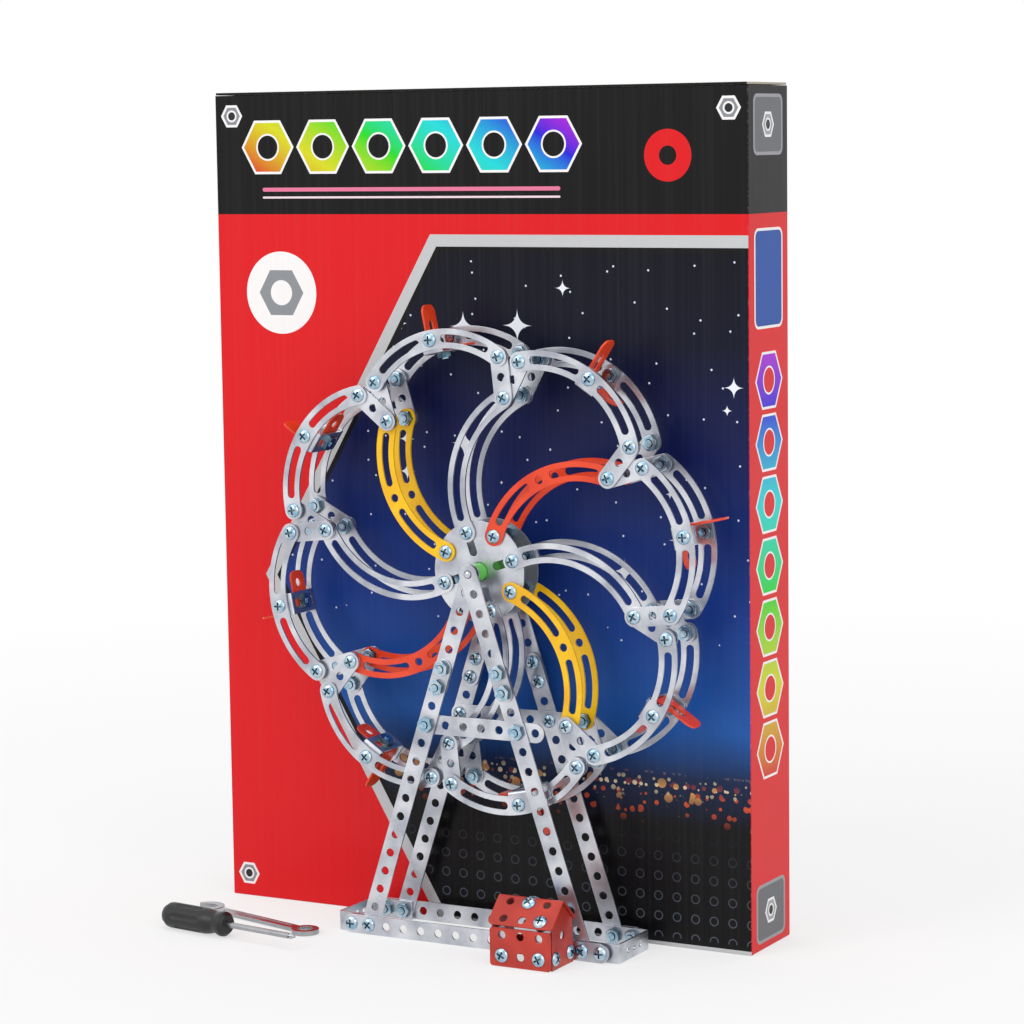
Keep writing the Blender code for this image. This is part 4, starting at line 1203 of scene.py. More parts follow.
@dataclass
class TicketBooth:
    """The booth in front of the rail: a front plate, gabled sides with angle brackets, and a folded roof."""

    finishes: Finishes
    hardware: Hardware
    front: Vector
    width: float = 0.0330
    depth: float = 0.0230
    wall_height: float = 0.0215
    front_height: float = 0.0190
    hole_height: float = 0.0055
    gable_top_half: float = 0.0020
    fold_relief: float = 0.0010
    tab_width: float = 0.0110
    corner_gap: float = 0.0010
    corner: float = 0.0016
    roof_slope: float = math.radians(42.0)
    roof_overhang: float = 0.0010
    roof_eave: float = 0.0005
    roof_first_hole: float = 0.0035

    def __post_init__(self) -> None:
        """Works out the gable's height from the roof's slope."""
        run = self.depth / 2 - self.fold_relief - self.gable_top_half
        self.gable_height = self.wall_height + run * math.tan(self.roof_slope)

    def _front_plate(self) -> Piece:
        """The front plate, standing just clear of the side walls' edges."""
        half = self.width / 2
        bar = DrawnBar("front", self.front_height, STOCK.sheet)
        bar.run(self.width)
        plate = bar.done(self.corner, 5)
        put(plate, upright_spot((-half, self.front_height / 2), 0.0, -STOCK.sheet / 2))
        upper = self.hole_height + STOCK.pitch
        spots = [(i * STOCK.pitch, upper) for i in (-1, 0, 1)] + [(0.0, self.hole_height)]
        cutters = [STOCK.hole(spot, -STOCK.sheet / 2) for spot in spots]
        return coated(STOCK.punched(plate, cutters), self.finishes.booth)

    def _side_wall(self) -> Piece:
        """The right wall: a gable with a rounded top, and the tab that is screwed to the rail."""
        sheet = STOCK.sheet
        bend = STOCK.fold + sheet / 2
        x = self.width / 2 - sheet / 2
        back = sheet + self.depth
        length = back + sheet / 2 - bend - (sheet + self.corner_gap)
        bar = DrawnBar("side", self.gable_height, sheet)
        bar.run(length).fold(QUARTER, STOCK.fold).run(self.tab_width - bend)
        wall = bar.done()
        turn = Matrix(((0, 0, -1), (1, 0, 0), (0, -1, 0))).to_4x4()
        put(wall, moved(x, sheet + self.corner_gap, self.gable_height / 2) @ turn)
        ridge = sheet + self.depth / 2
        reach = self.depth
        cutters = []
        for side in (-1, 1):
            wedge = block("wedge", (-2 * sheet, 0.0, 0.0), (2 * sheet, reach, reach))
            put(wedge, rotated(-self.roof_slope, "X"))
            if side < 0:
                put(wedge, MIRROR_Y)
            cutters.append(put(wedge, moved(x, ridge + side * self.gable_top_half, self.gable_height)))
        cut(wall, [cutters[0]])
        cut(wall, [cutters[1]])
        cut(wall, [block("over_tab", (-self.width, back - self.fold_relief, STOCK.width),
                         (self.width, back + reach, 2 * self.gable_height))])
        along = (moved(x, ridge, self.hole_height + STOCK.pitch)
                 @ rotated(QUARTER, "Y"))
        STOCK.punched(wall, [rod("hole", STOCK.hole_radius, 4 * sheet, along, 24)])
        return coated(wall, self.finishes.booth)

    def _angle_bracket(self) -> Piece:
        """The silver angle inside the right front corner, which holds the front plate to the wall."""
        sheet = STOCK.sheet
        leg = STOCK.pitch * 0.8
        bar = DrawnBar("angle", self.front_height * 0.9, sheet)
        bar.run(leg).fold(QUARTER, STOCK.fold).run(leg)
        angle = bar.done(self.corner, 4)
        turn = Matrix(((1, 0, 0), (0, 0, 1), (0, -1, 0))).to_4x4()
        bend = STOCK.fold + sheet / 2
        inside = self.width / 2 - sheet - STOCK.gap - sheet / 2
        put(angle, moved(inside - bend - leg, sheet + STOCK.gap + sheet / 2, self.front_height / 2) @ turn)
        return coated(eased(angle, STOCK.edge), self.finishes.steel)

    def _wall_screws(self) -> list[Piece]:
        """Two heads on the front plate, and two on the right wall and on the left."""
        parts = []
        inside = -2 * STOCK.sheet - STOCK.gap
        for column in (-1, 1):
            parts += self.hardware.screw((column * STOCK.pitch, self.hole_height), 0.0, inside, 0.5 * column)
        ridge = STOCK.sheet + self.depth / 2
        for side in (-1, 1):
            for along in (-1, 1):
                spot = self.hardware.screw((0.0, self.hole_height), 0.0, inside, 0.9 * along)
                move = (moved(side * self.width / 2, ridge + along * STOCK.pitch * 0.75, 0.0)
                        @ rotated(side * QUARTER, "Z"))
                parts += [put(part, move) for part in spot]
        return parts

    def _roof(self) -> Piece:
        """The roof, folded at the ridge, with rounded corners, three holes by two on each slope."""
        sheet = STOCK.sheet
        slope_length = (self.depth / 2 + sheet) / math.cos(self.roof_slope) + self.roof_eave
        length = self.width + 2 * self.roof_overhang
        bend = (STOCK.fold + sheet / 2) * math.tan(self.roof_slope)
        bar = DrawnBar("roof", length, sheet)
        bar.run(slope_length - bend).fold(-2 * self.roof_slope, STOCK.fold).run(slope_length - bend)
        roof = bar.done(self.corner * 1.4, 6)
        crest = (self.gable_height + self.gable_top_half * math.tan(self.roof_slope)
                 + STOCK.gap / math.cos(self.roof_slope) + sheet / 2 / math.cos(self.roof_slope))
        eave = Vector((0.0, sheet + self.depth / 2 - slope_length * math.cos(self.roof_slope),
                       crest - slope_length * math.sin(self.roof_slope)))
        slope = (moved(*eave) @ rotated(QUARTER, "Z")
                 @ rotated(-self.roof_slope, "Y"))
        put(roof, slope)
        cutters, screws = [], []
        ridge = sheet + self.depth / 2
        top = moved(0.0, ridge, crest)
        for side in (-1, 1):
            turn = rotated(-side * self.roof_slope, "X")
            for row in (0, 1):
                for column in (-1, 0, 1):
                    spot = (column * STOCK.pitch, side * (self.roof_first_hole + row * STOCK.pitch), 0.0)
                    place = top @ turn @ moved(*spot)
                    cutters.append(rod("hole", STOCK.hole_radius, 4 * sheet, place, 24))
                    if (row, column) in ((0, 0), (1, 1)):
                        screw = joined("roof_screw", self.hardware.screw((0.0, 0.0), sheet / 2, -sheet / 2,
                                                                         0.7 * (row + side)))
                        screws.append(put(screw, place @ HINDWARD))
        STOCK.punched(roof, cutters)
        return joined("roof", [coated(roof, self.finishes.booth)] + screws)

    def build(self) -> None:
        """Builds the walls with their brackets and screws, and the roof."""
        home = moved(*self.front)
        right = self._side_wall()
        left = copied(right, "left", MIRROR_X)
        angle = self._angle_bracket()
        other = copied(angle, "angle", MIRROR_X)
        walls = joined("booth_plates", [self._front_plate(), right, left, angle, other] + self._wall_screws())
        handed_over(put(walls, home), Body.STAND, Slot.RED, "booth_walls")
        roof = put(self._roof(), home)
        roof.name = "booth_roof_sheet"
        handed_over(roof, Body.STAND, Slot.RED, "booth_roof")


# The tools

@dataclass
class Spanner:
    """A flat combination spanner: an angled open jaw, a ring for the same nut, and a sunk shank."""

    finishes: Finishes
    middle: tuple[float, float, float] = (-0.106, -0.069, 0.0)
    turn: float = math.radians(-15.0)
    reach: float = 0.074
    thickness: float = 0.0024
    shank_thickness: float = 0.0019
    shank_half_width: float = 0.0030
    jaw_radius: float = 0.0085
    ring_radius: float = 0.0070
    grip: float = 0.0036
    throat: float = 0.0030
    jaw_turn: float = math.radians(15.0)
    ease: float = 0.0003

    def build(self) -> None:
        """Models the jaw, the ring and the shank, cuts the openings, and lays it on the ground."""
        half = self.reach / 2
        middle = self.thickness / 2
        flat = moved(z=middle)
        shank = line_bar("spanner_shape", (-half, 0.0), (half, 0.0), 2 * self.shank_half_width,
                         self.shank_thickness, 0.0)
        put(shank, flat @ HINDWARD)
        recess = [put(line_bar("recess", (-half * 0.62, 0.0), (half * 0.68, 0.0), self.shank_half_width * 0.9,
                               self.shank_thickness, 0.0),
                      moved(z=middle + side * self.shank_thickness * 0.86) @ HINDWARD)
                  for side in (-1, 1)]
        cut(shank, recess)
        for place, radius in ((-half, self.jaw_radius), (half, self.ring_radius)):
            head = rod("head", radius, self.thickness, flat @ moved(place), 48)
            cut(shank, [head], "UNION")
        jaw = moved(-half, 0.0, middle) @ rotated(math.pi + self.jaw_turn, "Z")
        mouth = put(line_bar("mouth", (-self.throat + self.grip * 0.35, 0.0), (2 * self.jaw_radius, 0.0),
                             2 * self.grip, 2 * self.thickness, 0.0), jaw @ HINDWARD)
        cut(shank, [mouth])
        for spin in (0.0, math.pi / 6):
            eye = rod("eye", self.grip / math.cos(math.pi / 6), 2 * self.thickness,
                      flat @ moved(half) @ rotated(spin, "Z"), 6)
            cut(shank, [eye])
        eased(shank, self.ease, 2, 30.0)
        coated(shank, self.finishes.tool)
        put(shank, moved(*self.middle) @ rotated(self.turn, "Z"))
        shank.name = "combination_spanner"
        handed_over(shank, Body.STAND, Slot.TOOL, "spanner")


@dataclass
class Screwdriver:
    """A cross-tip screwdriver: a fluted black handle with a finger groove, and a round steel blade."""

    finishes: Finishes
    start: tuple[float, float, float] = (-0.142, -0.097, 0.0)
    turn: float = math.radians(-8.0)
    roll: float = 0.3
    handle_radius: float = 0.0065
    handle_length: float = 0.042
    waist_radius: float = 0.0052
    groove_setback: float = 0.008
    blade_radius: float = 0.0015
    blade_length: float = 0.044
    tip_length: float = 0.0030
    flutes: int = 6
    ease: float = 0.0003
    notch_half: float = 0.0004

    def build(self) -> None:
        """Turns the handle and the blade, cuts the flutes and the cross tip, and lays them down."""
        groove = self.handle_length - self.groove_setback
        dome = [(self.waist_radius * math.sin(a), self.waist_radius * 0.45 * (1 - math.cos(a)))
                for a in (0.35, 0.8, 1.2, QUARTER)]
        profile = dome + [
            (self.handle_radius * 0.96, 0.0038), (self.handle_radius, 0.0055),
            (self.handle_radius, groove - 0.006),
            (self.handle_radius * 0.93, groove - 0.003), (self.waist_radius, groove),
            (self.waist_radius * 1.02, groove + 0.0015), (self.handle_radius * 0.97, groove + 0.0045),
            (self.handle_radius * 0.95, groove + 0.0062), (self.waist_radius * 0.9, self.handle_length),
        ]
        handle = lathed("handle", profile, 48)
        deep = self.handle_radius * 0.45
        half = groove / 2 - 0.005
        trough = [(deep * 0.15, -half), (deep * 0.6, 0.0014 - half), (deep, 0.0045 - half),
                  (deep, half - 0.0045), (deep * 0.6, half - 0.0014), (deep * 0.15, half)]
        cutters = []
        for number in range(self.flutes):
            angle = 2 * math.pi * number / self.flutes
            place = (rotated(angle, "Z")
                     @ moved(self.handle_radius * 1.32, 0.0, groove / 2 + 0.001))
            cutters.append(put(lathed("flute", trough, 20), place))
        coated(eased(cut(handle, cutters), self.ease, 2, 30.0), self.finishes.grip)
        shoulder = self.handle_length + self.blade_length
        blade = lathed("blade", [(self.blade_radius, self.handle_length - 0.002),
                                 (self.blade_radius, shoulder - self.tip_length),
                                 (self.blade_radius * 0.9, shoulder - self.tip_length * 0.8),
                                 (self.blade_radius * 0.3, shoulder)], 24)
        notches = []
        for number in range(4):
            notch = block("notch", (self.notch_half, self.notch_half, shoulder - self.tip_length * 1.3),
                          (10 * self.notch_half, 10 * self.notch_half, 2 * shoulder))
            notches.append(put(notch, rotated(QUARTER * number + QUARTER / 2, "Z")))
        coated(cut(blade, notches), self.finishes.tool)
        tool = joined("cross_screwdriver", [handle, blade])
        lift = moved(z=self.handle_radius)
        put(tool, moved(*self.start) @ rotated(self.turn, "Z") @ lift
            @ rotated(QUARTER, "Y") @ rotated(self.roll, "Z"))
        handed_over(tool, Body.STAND, Slot.GRIP, "screwdriver")


# The carton

class Ink(Enum):
    """The print's inks, and what shows where they are worn, as sRGB hex colours."""

    RED = "#DC1A20"
    BLACK = "#0A090B"
    SILVER = "#C4C5C7"
    WHITE = "#F3F0EF"
    OUTLINE = "#F4F1F2"
    BADGE_GREY = "#8D9094"
    CORNER_GREY = "#8B8E93"
    BORE = "#2A2B2E"
    PINK = "#E2789A"
    PALE_PINK = "#F1D9E0"
    STAR = "#EEF2FA"
    DOT = "#D5DEF2"
    AMBER = "#E9A85C"
    EMBER = "#D8582E"
    CREAM = "#F3DFB6"
    RING = "#7F8796"
    LABEL_BLUE = "#1E4FA3"
    PLATE_RIM = "#9A9CA0"
    PLATE = "#6A6C70"
    PLATE_NUT = "#A3A6AA"
    STEEL = "#A9ABB0"
    YELLOW = "#E9B91A"
    ORANGE_RED = "#D8402A"
    ZINC = "#8DA3B0"
    CARD = "#C9C3B8"
    CARD_BORE = "#4A4640"
    FADED = "#8A8784"
    BARE_CARD = "#CFC9C4"


@dataclass(frozen=True)
class NutRow:
    """A printed row of nuts, in millimetres: its middle, and their number, step and size to the flats."""

    u: float
    v: float
    count: int
    step: float
    flats: float


class Press:
    """Offset print on micro-flute card: crisp flat inks under a thin varnish, the flutes just showing.

    u runs across the face and v up it, both in millimetres.
    """

    outline: float = 1.2
    bore_outline: float = 0.9
    bore_share: float = 0.48
    row_margin: float = 2.0
    row_corner: float = 0.5
    rubbed: float = 0.7
    grains_per_mm: float = 0.9
    waves_per_mm: float = 0.02
    scuffs_per_mm: float = 0.22
    streaks_per_mm: tuple[float, float, float] = (0.5, 0.004, 1.0)
    flute_scale: float = 0.18

    def __init__(self, name: str, across: str, ground: Ink, upwards: str = "Z") -> None:
        """Starts a face with one ink all over.

        Args:
            name: the finish's name.
            across: the axis that runs across the face.
            ground: the first ink.
            upwards: the axis that runs up the face.
        """
        self.material, self.tree, self.shader, spot = fresh(name)
        self.sheet = add(self.tree, "VectorMath", {0: spot, "Scale": 1 / MM}, operation="SCALE")
        axes = add(self.tree, "SeparateXYZ", {0: self.sheet}).outputs
        self.u, self.v = axes[across], axes[upwards]
        self.place = add(self.tree, "CombineXYZ", {0: self.u, 1: self.v})
        self.colour = linear(ground.value)

    def lay(self, ink: Ink | Node, *masks: Node) -> None:
        """Lays an ink, or the colours that a node gives, where every mask is 1."""
        share = masks[0]
        for mask in masks[1:]:
            share = add(self.tree, "Math", {0: share, 1: mask}, operation="MULTIPLY")
        colour = linear(ink.value) if isinstance(ink, Ink) else ink
        self.colour = add(self.tree, "Mix", {0: share, 6: self.colour, 7: colour}, data_type="RGBA")

    def way_from(self, u: float, v: float, steps: tuple[float, float] | None = None) -> Node:
        """The way from a motif's middle to the place that is printed.

        Args:
            u: the middle's place across.
            v: its place up the face.
            steps: where the motif repeats, the steps of its grid.

        Returns:
            The way, from the nearest of the motifs.
        """
        way = add(self.tree, "VectorMath", {0: self.place, 1: (u, v, 0.0)}, operation="SUBTRACT")
        if steps:
            half = Vector((steps[0] / 2, steps[1] / 2, 1.0))
            way = add(self.tree, "VectorMath", {0: way, 1: half, 2: -half}, operation="WRAP")
        return way

    def round_mask(self, way: Node, radius: float) -> Node:
        """1 inside a disc."""
        reach = add(self.tree, "VectorMath", {0: way}, operation="LENGTH")
        return add(self.tree, "Math", {0: reach, 1: radius}, operation="LESS_THAN")

    def label_mask(self, way: Node, half_u: float, half_v: float, corner: float) -> Node:
        """1 inside a rectangle with round corners."""
        positive = add(self.tree, "VectorMath", {0: way}, operation="ABSOLUTE")
        beyond = add(self.tree, "VectorMath", {0: positive, 1: (half_u - corner, half_v - corner, 0.0)},
                     operation="SUBTRACT")
        outside = add(self.tree, "VectorMath", {0: beyond, 1: (0.0, 0.0, 0.0)}, operation="MAXIMUM")
        return self.round_mask(outside, corner)

    def nut_mask(self, way: Node, flats: float) -> Node:
        """1 inside a hexagon, measured to its flats."""
        positive = add(self.tree, "VectorMath", {0: way}, operation="ABSOLUTE")
        slope = (math.cos(math.pi / 6), 0.5, 0.0)
        reaches = [add(self.tree, "VectorMath", {0: positive, 1: along}, operation="DOT_PRODUCT")
                   for along in (slope, (0.0, 1.0, 0.0))]
        reach = add(self.tree, "Math", {0: reaches[0], 1: reaches[1]}, operation="MAXIMUM")
        return add(self.tree, "Math", {0: reach, 1: flats}, operation="LESS_THAN")

    def framed(self, way: Node, half: Point, rim: float, corners: Point, inks: tuple[Ink, Ink]) -> None:
        """Prints a rectangle with round corners and a rim of another ink.

        Args:
            way: the way from its middle.
            half: half its width and half its height, with the rim.
            rim: the rim's width.
            corners: the radius of the outer corners, and of the inner ones.
            inks: the rim's ink, and the ink inside it.
        """
        self.lay(inks[0], self.label_mask(way, *half, corners[0]))
        self.lay(inks[1], self.label_mask(way, half[0] - rim, half[1] - rim, corners[1]))

    def nuts(self, way: Node, flats: float, ink: Ink | Node, bore: Ink,
             *masks: Node) -> None:
        """Prints hexagon nuts with a pale outline and a round bore.

        Args:
            way: the way from their middles.
            flats: from the middle to the flats.
            ink: the nuts' ink.
            bore: the ink of what shows in their bores.
            masks: where they are printed, if not all over.
        """
        radius = flats * self.bore_share
        self.lay(Ink.OUTLINE, self.nut_mask(way, flats + self.outline), *masks)
        self.lay(ink, self.nut_mask(way, flats), *masks)
        self.lay(Ink.OUTLINE, self.round_mask(way, radius + self.bore_outline), *masks)
        self.lay(bore, self.round_mask(way, radius), *masks)

    def nut_row(self, row: NutRow, ink: Ink | Node, bore: Ink) -> None:
        """Prints a row of nuts, whole ones only."""
        first = row.u - row.step * (row.count - 1) / 2
        reach = self.label_mask(self.way_from(row.u, row.v), row.step * row.count / 2,
                                row.flats + self.row_margin, self.row_corner)
        self.nuts(self.way_from(first, row.v, (row.step, 8 * row.flats)), row.flats, ink, bore, reach)

    def strip(self, u: float, v: float, holes: int, ink: Ink, ground: Ink) -> None:
        """Prints a punched strip at its own size, lying across the face."""
        pitch, width = STOCK.pitch / MM, STOCK.width / MM
        body = self.label_mask(self.way_from(u, v), (pitch * (holes - 1) + width) / 2, width / 2, width / 2)
        self.lay(ink, body)
        first = u - pitch * (holes - 1) / 2
        self.lay(ground, body, self.round_mask(self.way_from(first, v, (pitch, 4 * width)),
                                               STOCK.hole_radius / MM))

    def rainbow(self, along: tuple[float, float], start: float, length: float) -> Node:
        """An ink that runs from red to violet along a direction of the face."""
        place = add(self.tree, "VectorMath", {0: self.place, 1: (*along, 0.0)}, operation="DOT_PRODUCT")
        hue = add(self.tree, "MapRange", {0: place, 1: start, 2: start + length, 3: 0.0, 4: 0.8})
        return add(self.tree, "CombineColor", {0: hue, 1: 0.975, 2: 0.66}, mode="HSV")

    def varnished(self, half_across: float) -> Material:
        """Finishes the face: varnish, the flutes and slow waves of the card, and rubbed folds.

        Args:
            half_across: half the face's width, at whose edges the inks are rubbed.

        Returns:
            The finished material.
        """
        grain = add(self.tree, "TexNoise", {"Vector": self.sheet, "Scale": self.grains_per_mm, "Detail": 3.0})
        wave = add(self.tree, "TexNoise", {"Vector": self.sheet, "Scale": self.waves_per_mm, "Detail": 1.0})
        flutes = add(self.tree, "TexWave", {"Vector": self.place, "Scale": self.flute_scale,
                                            "Distortion": 0.6, "Detail": 1.0})
        streak = add(self.tree, "Mapping", {"Vector": self.place, "Scale": self.streaks_per_mm})
        faded = add(self.tree, "TexNoise", {"Vector": streak, "Scale": 1.0, "Detail": 3.0})
        self.lay(Ink.FADED, add(self.tree, "MapRange", {0: faded, 1: 0.45, 2: 0.8, 3: 0.0, 4: 0.03}))
        reach = add(self.tree, "Math", {0: self.u}, operation="ABSOLUTE")
        near = add(self.tree, "MapRange", {0: reach, 1: half_across - self.rubbed, 2: half_across})
        scuff = add(self.tree, "TexNoise", {"Vector": self.sheet, "Scale": self.scuffs_per_mm,
                                            "Detail": 8.0, "Roughness": 0.7})
        worn = add(self.tree, "MapRange", {0: scuff, 1: 0.50, 2: 0.78, 3: 0.0, 4: 0.5})
        self.lay(Ink.BARE_CARD, near, worn)
        self.tree.links.new(live(self.colour), self.shader.inputs["Base Color"])
        add(self.tree, "MapRange", {0: wave, 3: 0.30, 4: 0.42}, self.shader.inputs["Roughness"])
        self.shader.inputs["Specular IOR Level"].default_value = 0.16
        self.shader.inputs["Coat Weight"].default_value = 0.04
        self.shader.inputs["Coat Roughness"].default_value = 0.2
        fine = add(self.tree, "Bump", {"Height": grain, "Distance": 0.03 * MM, "Strength": 0.25})
        ribs = add(self.tree, "Bump", {"Height": flutes, "Distance": 0.02 * MM, "Strength": 0.6,
                                       "Normal": fine})
        add(self.tree, "Bump", {"Height": wave, "Distance": 0.8 * MM, "Strength": 0.5, "Normal": ribs},
            self.shader.inputs["Normal"])
        return self.material


@dataclass(frozen=True)
class LampBand:
    """A band of printed lamps, in millimetres: their cells' size, and the band's middle and half height."""

    cell: float
    middle: float
    half: float
    ink: Ink


@dataclass(frozen=True)
class FrontLayout:
    """Where the front's motifs lie, in millimetres from the middle of the carton's foot."""

    header_nuts: NutRow = NutRow(-36.0, 392.0, 6, 33.0, 12.4)
    header_rainbow: Point = (478.0, 235.0)
    line_heights: Point = (370.5, 366.5)
    line_half: float = 86.0
    washer: Point = (108.0, 386.0)
    washer_radius: float = 12.5
    washer_bore: float = 4.6
    badge: Point = (-112.0, 318.0)
    badge_radius: float = 21.0
    badge_nut: float = 11.5
    corners: tuple[Point, ...] = ((-140.0, 12.0), (-140.0, 408.0), (140.0, 408.0))
    corner_nut: float = 4.4
    window: Point = (78.0, 172.0)
    window_flats: float = 176.0
    silver_edge: float = 6.0
    black_line: float = 2.5
    night_top: float = 360.0
    star_foot: float = 150.0
    star_cell: float = 30.0
    star_size: float = 3.0
    dot_cell: float = 19.0
    dot_share: float = 0.028
    lamps: tuple[LampBand, ...] = (LampBand(7.0, 78.0, 9.0, Ink.AMBER), LampBand(4.6, 72.0, 12.0, Ink.EMBER),
                                   LampBand(3.4, 80.0, 7.0, Ink.CREAM))
    ring_line: float = 0.28
    ring_heights: Point = (12.0, 56.0)


@dataclass(frozen=True)
class SideLayout:
    """Where the narrow sides' motifs lie, in millimetres up them and across."""

    nut_heights: tuple[float, ...] = tuple(98.0 + 30.0 * number for number in range(7))
    nut_flats: float = 12.6
    rainbow: Point = (84.0, 216.0)
    label_height: float = 327.0
    label_half: Point = (16.5, 24.0)
    label_rim: float = 1.3
    label_corners: Point = (4.5, 3.4)
    plate_heights: Point = (400.0, 18.0)
    plate_half: Point = (17.0, 14.5)
    plate_rim: float = 1.6
    plate_corners: Point = (4.0, 2.8)
    plate_nut: float = 4.8


@dataclass(frozen=True)
class BackLayout:
    """Where the back's motifs lie, in millimetres; a strip has its middle, its holes and its ink."""

    header_nuts: NutRow = NutRow(0.0, 388.0, 6, 33.0, 12.4)
    header_rainbow: Point = (520.0, 235.0)
    panel: Point = (0.0, 178.0)
    panel_half: Point = (127.0, 157.0)
    panel_rim: float = 3.0
    panel_corners: Point = (12.0, 9.5)
    strips: tuple[tuple[float, float, int, Ink], ...] = (
        (-38.0, 300.0, 15, Ink.STEEL), (48.0, 268.0, 11, Ink.YELLOW), (-52.0, 236.0, 9, Ink.ORANGE_RED),
        (30.0, 204.0, 13, Ink.STEEL), (-30.0, 172.0, 15, Ink.STEEL), (66.0, 140.0, 7, Ink.YELLOW),
        (-60.0, 140.0, 7, Ink.ORANGE_RED), (0.0, 108.0, 19, Ink.STEEL))
    foot_nuts: NutRow = NutRow(0.0, 66.0, 9, 22.0, 6.6)


@dataclass
class Carton:
    """The retail carton: four walls and a floor of coated card, and a tuck lid hinged at the back."""

    finishes: Finishes
    width: float = 0.300
    depth: float = 0.046
    height: float = 0.420
    card: float = 0.0012
    crease: float = 0.0006
    lid_side_inset: float = 0.0005
    tongue_side_inset: float = 0.012
    tongue_depth: float = 0.016
    tongue_lean: float = math.radians(13.0)
    tongue_corner: float = 0.0075
    header_mm: float = 358.0
    front: FrontLayout = FrontLayout()
    side: SideLayout = SideLayout()
    back: BackLayout = BackLayout()
    top_nuts: NutRow = NutRow(0.0, 0.0, 10, 26.0, 9.0)

    def __post_init__(self) -> None:
        """Works out the walls' height under the lid."""
        self.wall_top = self.height - self.card - STOCK.gap

    def _header(self, press: Press) -> None:
        """The black band round the top."""
        press.lay(Ink.BLACK, add(press.tree, "Math", {0: press.v, 1: self.header_mm},
                                 operation="GREATER_THAN"))

    def _front_print(self) -> Material:
        """The front: a black header of coloured nuts, and a six-sided night window edged in silver on red."""
        press, at = Press("varnished_print_front", "X", Ink.RED), self.front
        window = press.way_from(*at.window)
        press.lay(Ink.SILVER, press.nut_mask(window, at.window_flats))
        press.lay(Ink.BLACK, press.nut_mask(window, at.window_flats - at.silver_edge))
        inside = press.nut_mask(window, at.window_flats - at.silver_edge - at.black_line)
        press.lay(self._night(press), inside)
        self._stars(press, inside)
        self._lamps(press, inside)
        self._punched_foot(press, inside)
        self._header(press)
        press.nut_row(at.header_nuts, press.rainbow((1.0, 1.6), *at.header_rainbow), Ink.BLACK)
        thick, thin = (press.way_from(at.header_nuts.u, height) for height in at.line_heights)
        press.lay(Ink.PINK, press.label_mask(thick, at.line_half, 1.0, 0.9))
        press.lay(Ink.PALE_PINK, press.label_mask(thin, at.line_half, 0.5, 0.4))
        washer = press.way_from(*at.washer)
        press.lay(Ink.RED, press.round_mask(washer, at.washer_radius))
        press.lay(Ink.BLACK, press.round_mask(washer, at.washer_bore))
        badge = press.way_from(*at.badge)
        press.lay(Ink.WHITE, press.round_mask(badge, at.badge_radius))
        press.nuts(badge, at.badge_nut, Ink.BADGE_GREY, Ink.WHITE)
        for corner in at.corners:
            press.nuts(press.way_from(*corner), at.corner_nut, Ink.CORNER_GREY, Ink.BORE)
        return press.varnished(self.width / 2 / MM)

    def _night(self, press: Press) -> Node:
        """A plain night sky: near black above, deep blue lower down, dark again at the foot."""
        height = add(press.tree, "MapRange", {0: press.v, 1: 0.0, 2: self.front.night_top})
        ramp = add(press.tree, "ValToRGB", {0: height})
        stops = ((0.0, "#040305"), (0.17, "#09070B"), (0.235, "#18284A"), (0.30, "#1F58A6"),
                 (0.46, "#183A8A"),
                 (0.66, "#0F1A52"), (0.82, "#080B23"), (1.0, "#030407"))
        elements = ramp.color_ramp.elements
        while len(elements) < len(stops):
            elements.new(0.5)
        for element, (at, code) in zip(elements, stops):
            element.position = at
            element.color = linear(code)
        return ramp

    def _stars(self, press: Press, inside: Node) -> None:
        """Plain four-pointed stars of mixed sizes, one to a cell, and small dots between."""
        tree, at = press.tree, self.front
        above = add(tree, "Math", {0: press.v, 1: at.star_foot}, operation="GREATER_THAN")
        spread = {"Vector": press.place, "Scale": 1 / at.star_cell, "Randomness": 0.85}
        cells = add(tree, "TexVoronoi", spread, voronoi_dimensions="2D")
        way = add(tree, "VectorMath", {0: press.place, 1: cells.outputs["Position"]}, operation="SUBTRACT")
        axes = add(tree, "SeparateXYZ", {0: add(tree, "VectorMath", {0: way}, operation="ABSOLUTE")}).outputs
        roots = [add(tree, "Math", {0: axes[i], 1: 0.5}, operation="POWER") for i in (0, 1)]
        points = add(tree, "Math", {0: roots[0], 1: roots[1]}, operation="ADD")
        chance = add(tree, "SeparateColor", {0: cells.outputs["Color"]})
        reach = add(tree, "MapRange", {0: chance, 1: 0.35, 2: 1.0, 3: 0.0, 4: at.star_size})
        press.lay(Ink.STAR, inside, above, add(tree, "Math", {0: points, 1: reach}, operation="LESS_THAN"))
        spread = {"Vector": press.place, "Scale": 1 / at.dot_cell}
        dots = add(tree, "TexVoronoi", spread, voronoi_dimensions="2D")
        dot = add(tree, "Math", {0: dots, 1: at.dot_share}, operation="LESS_THAN")
        press.lay(Ink.DOT, inside, above, dot)

    def _lamps(self, press: Press, inside: Node) -> None:
        """Out-of-focus warm lamps in low bands, each a disc of its own size."""
        tree = press.tree
        for band in self.front.lamps:
            shift = (band.cell * 3.7, band.cell * 1.3, 0.0)
            shifted = add(tree, "VectorMath", {0: press.place, 1: shift}, operation="ADD")
            spread = {"Vector": shifted, "Scale": 1 / band.cell}
            cells = add(tree, "TexVoronoi", spread, voronoi_dimensions="2D")
            chance = add(tree, "SeparateColor", {0: cells.outputs["Color"]}).outputs[1]
            reach = add(tree, "MapRange", {0: chance, 1: 0.45, 2: 1.0, 3: 0.0, 4: 0.42})
            height = add(tree, "Math", {0: press.v, 1: band.middle}, operation="SUBTRACT")
            off = add(tree, "Math", {0: height}, operation="ABSOLUTE")
            press.lay(band.ink, inside, add(tree, "Math", {0: cells, 1: reach}, operation="LESS_THAN"),
                      add(tree, "MapRange", {0: off, 1: 0.0, 2: band.half, 3: 0.8, 4: 0.0}))

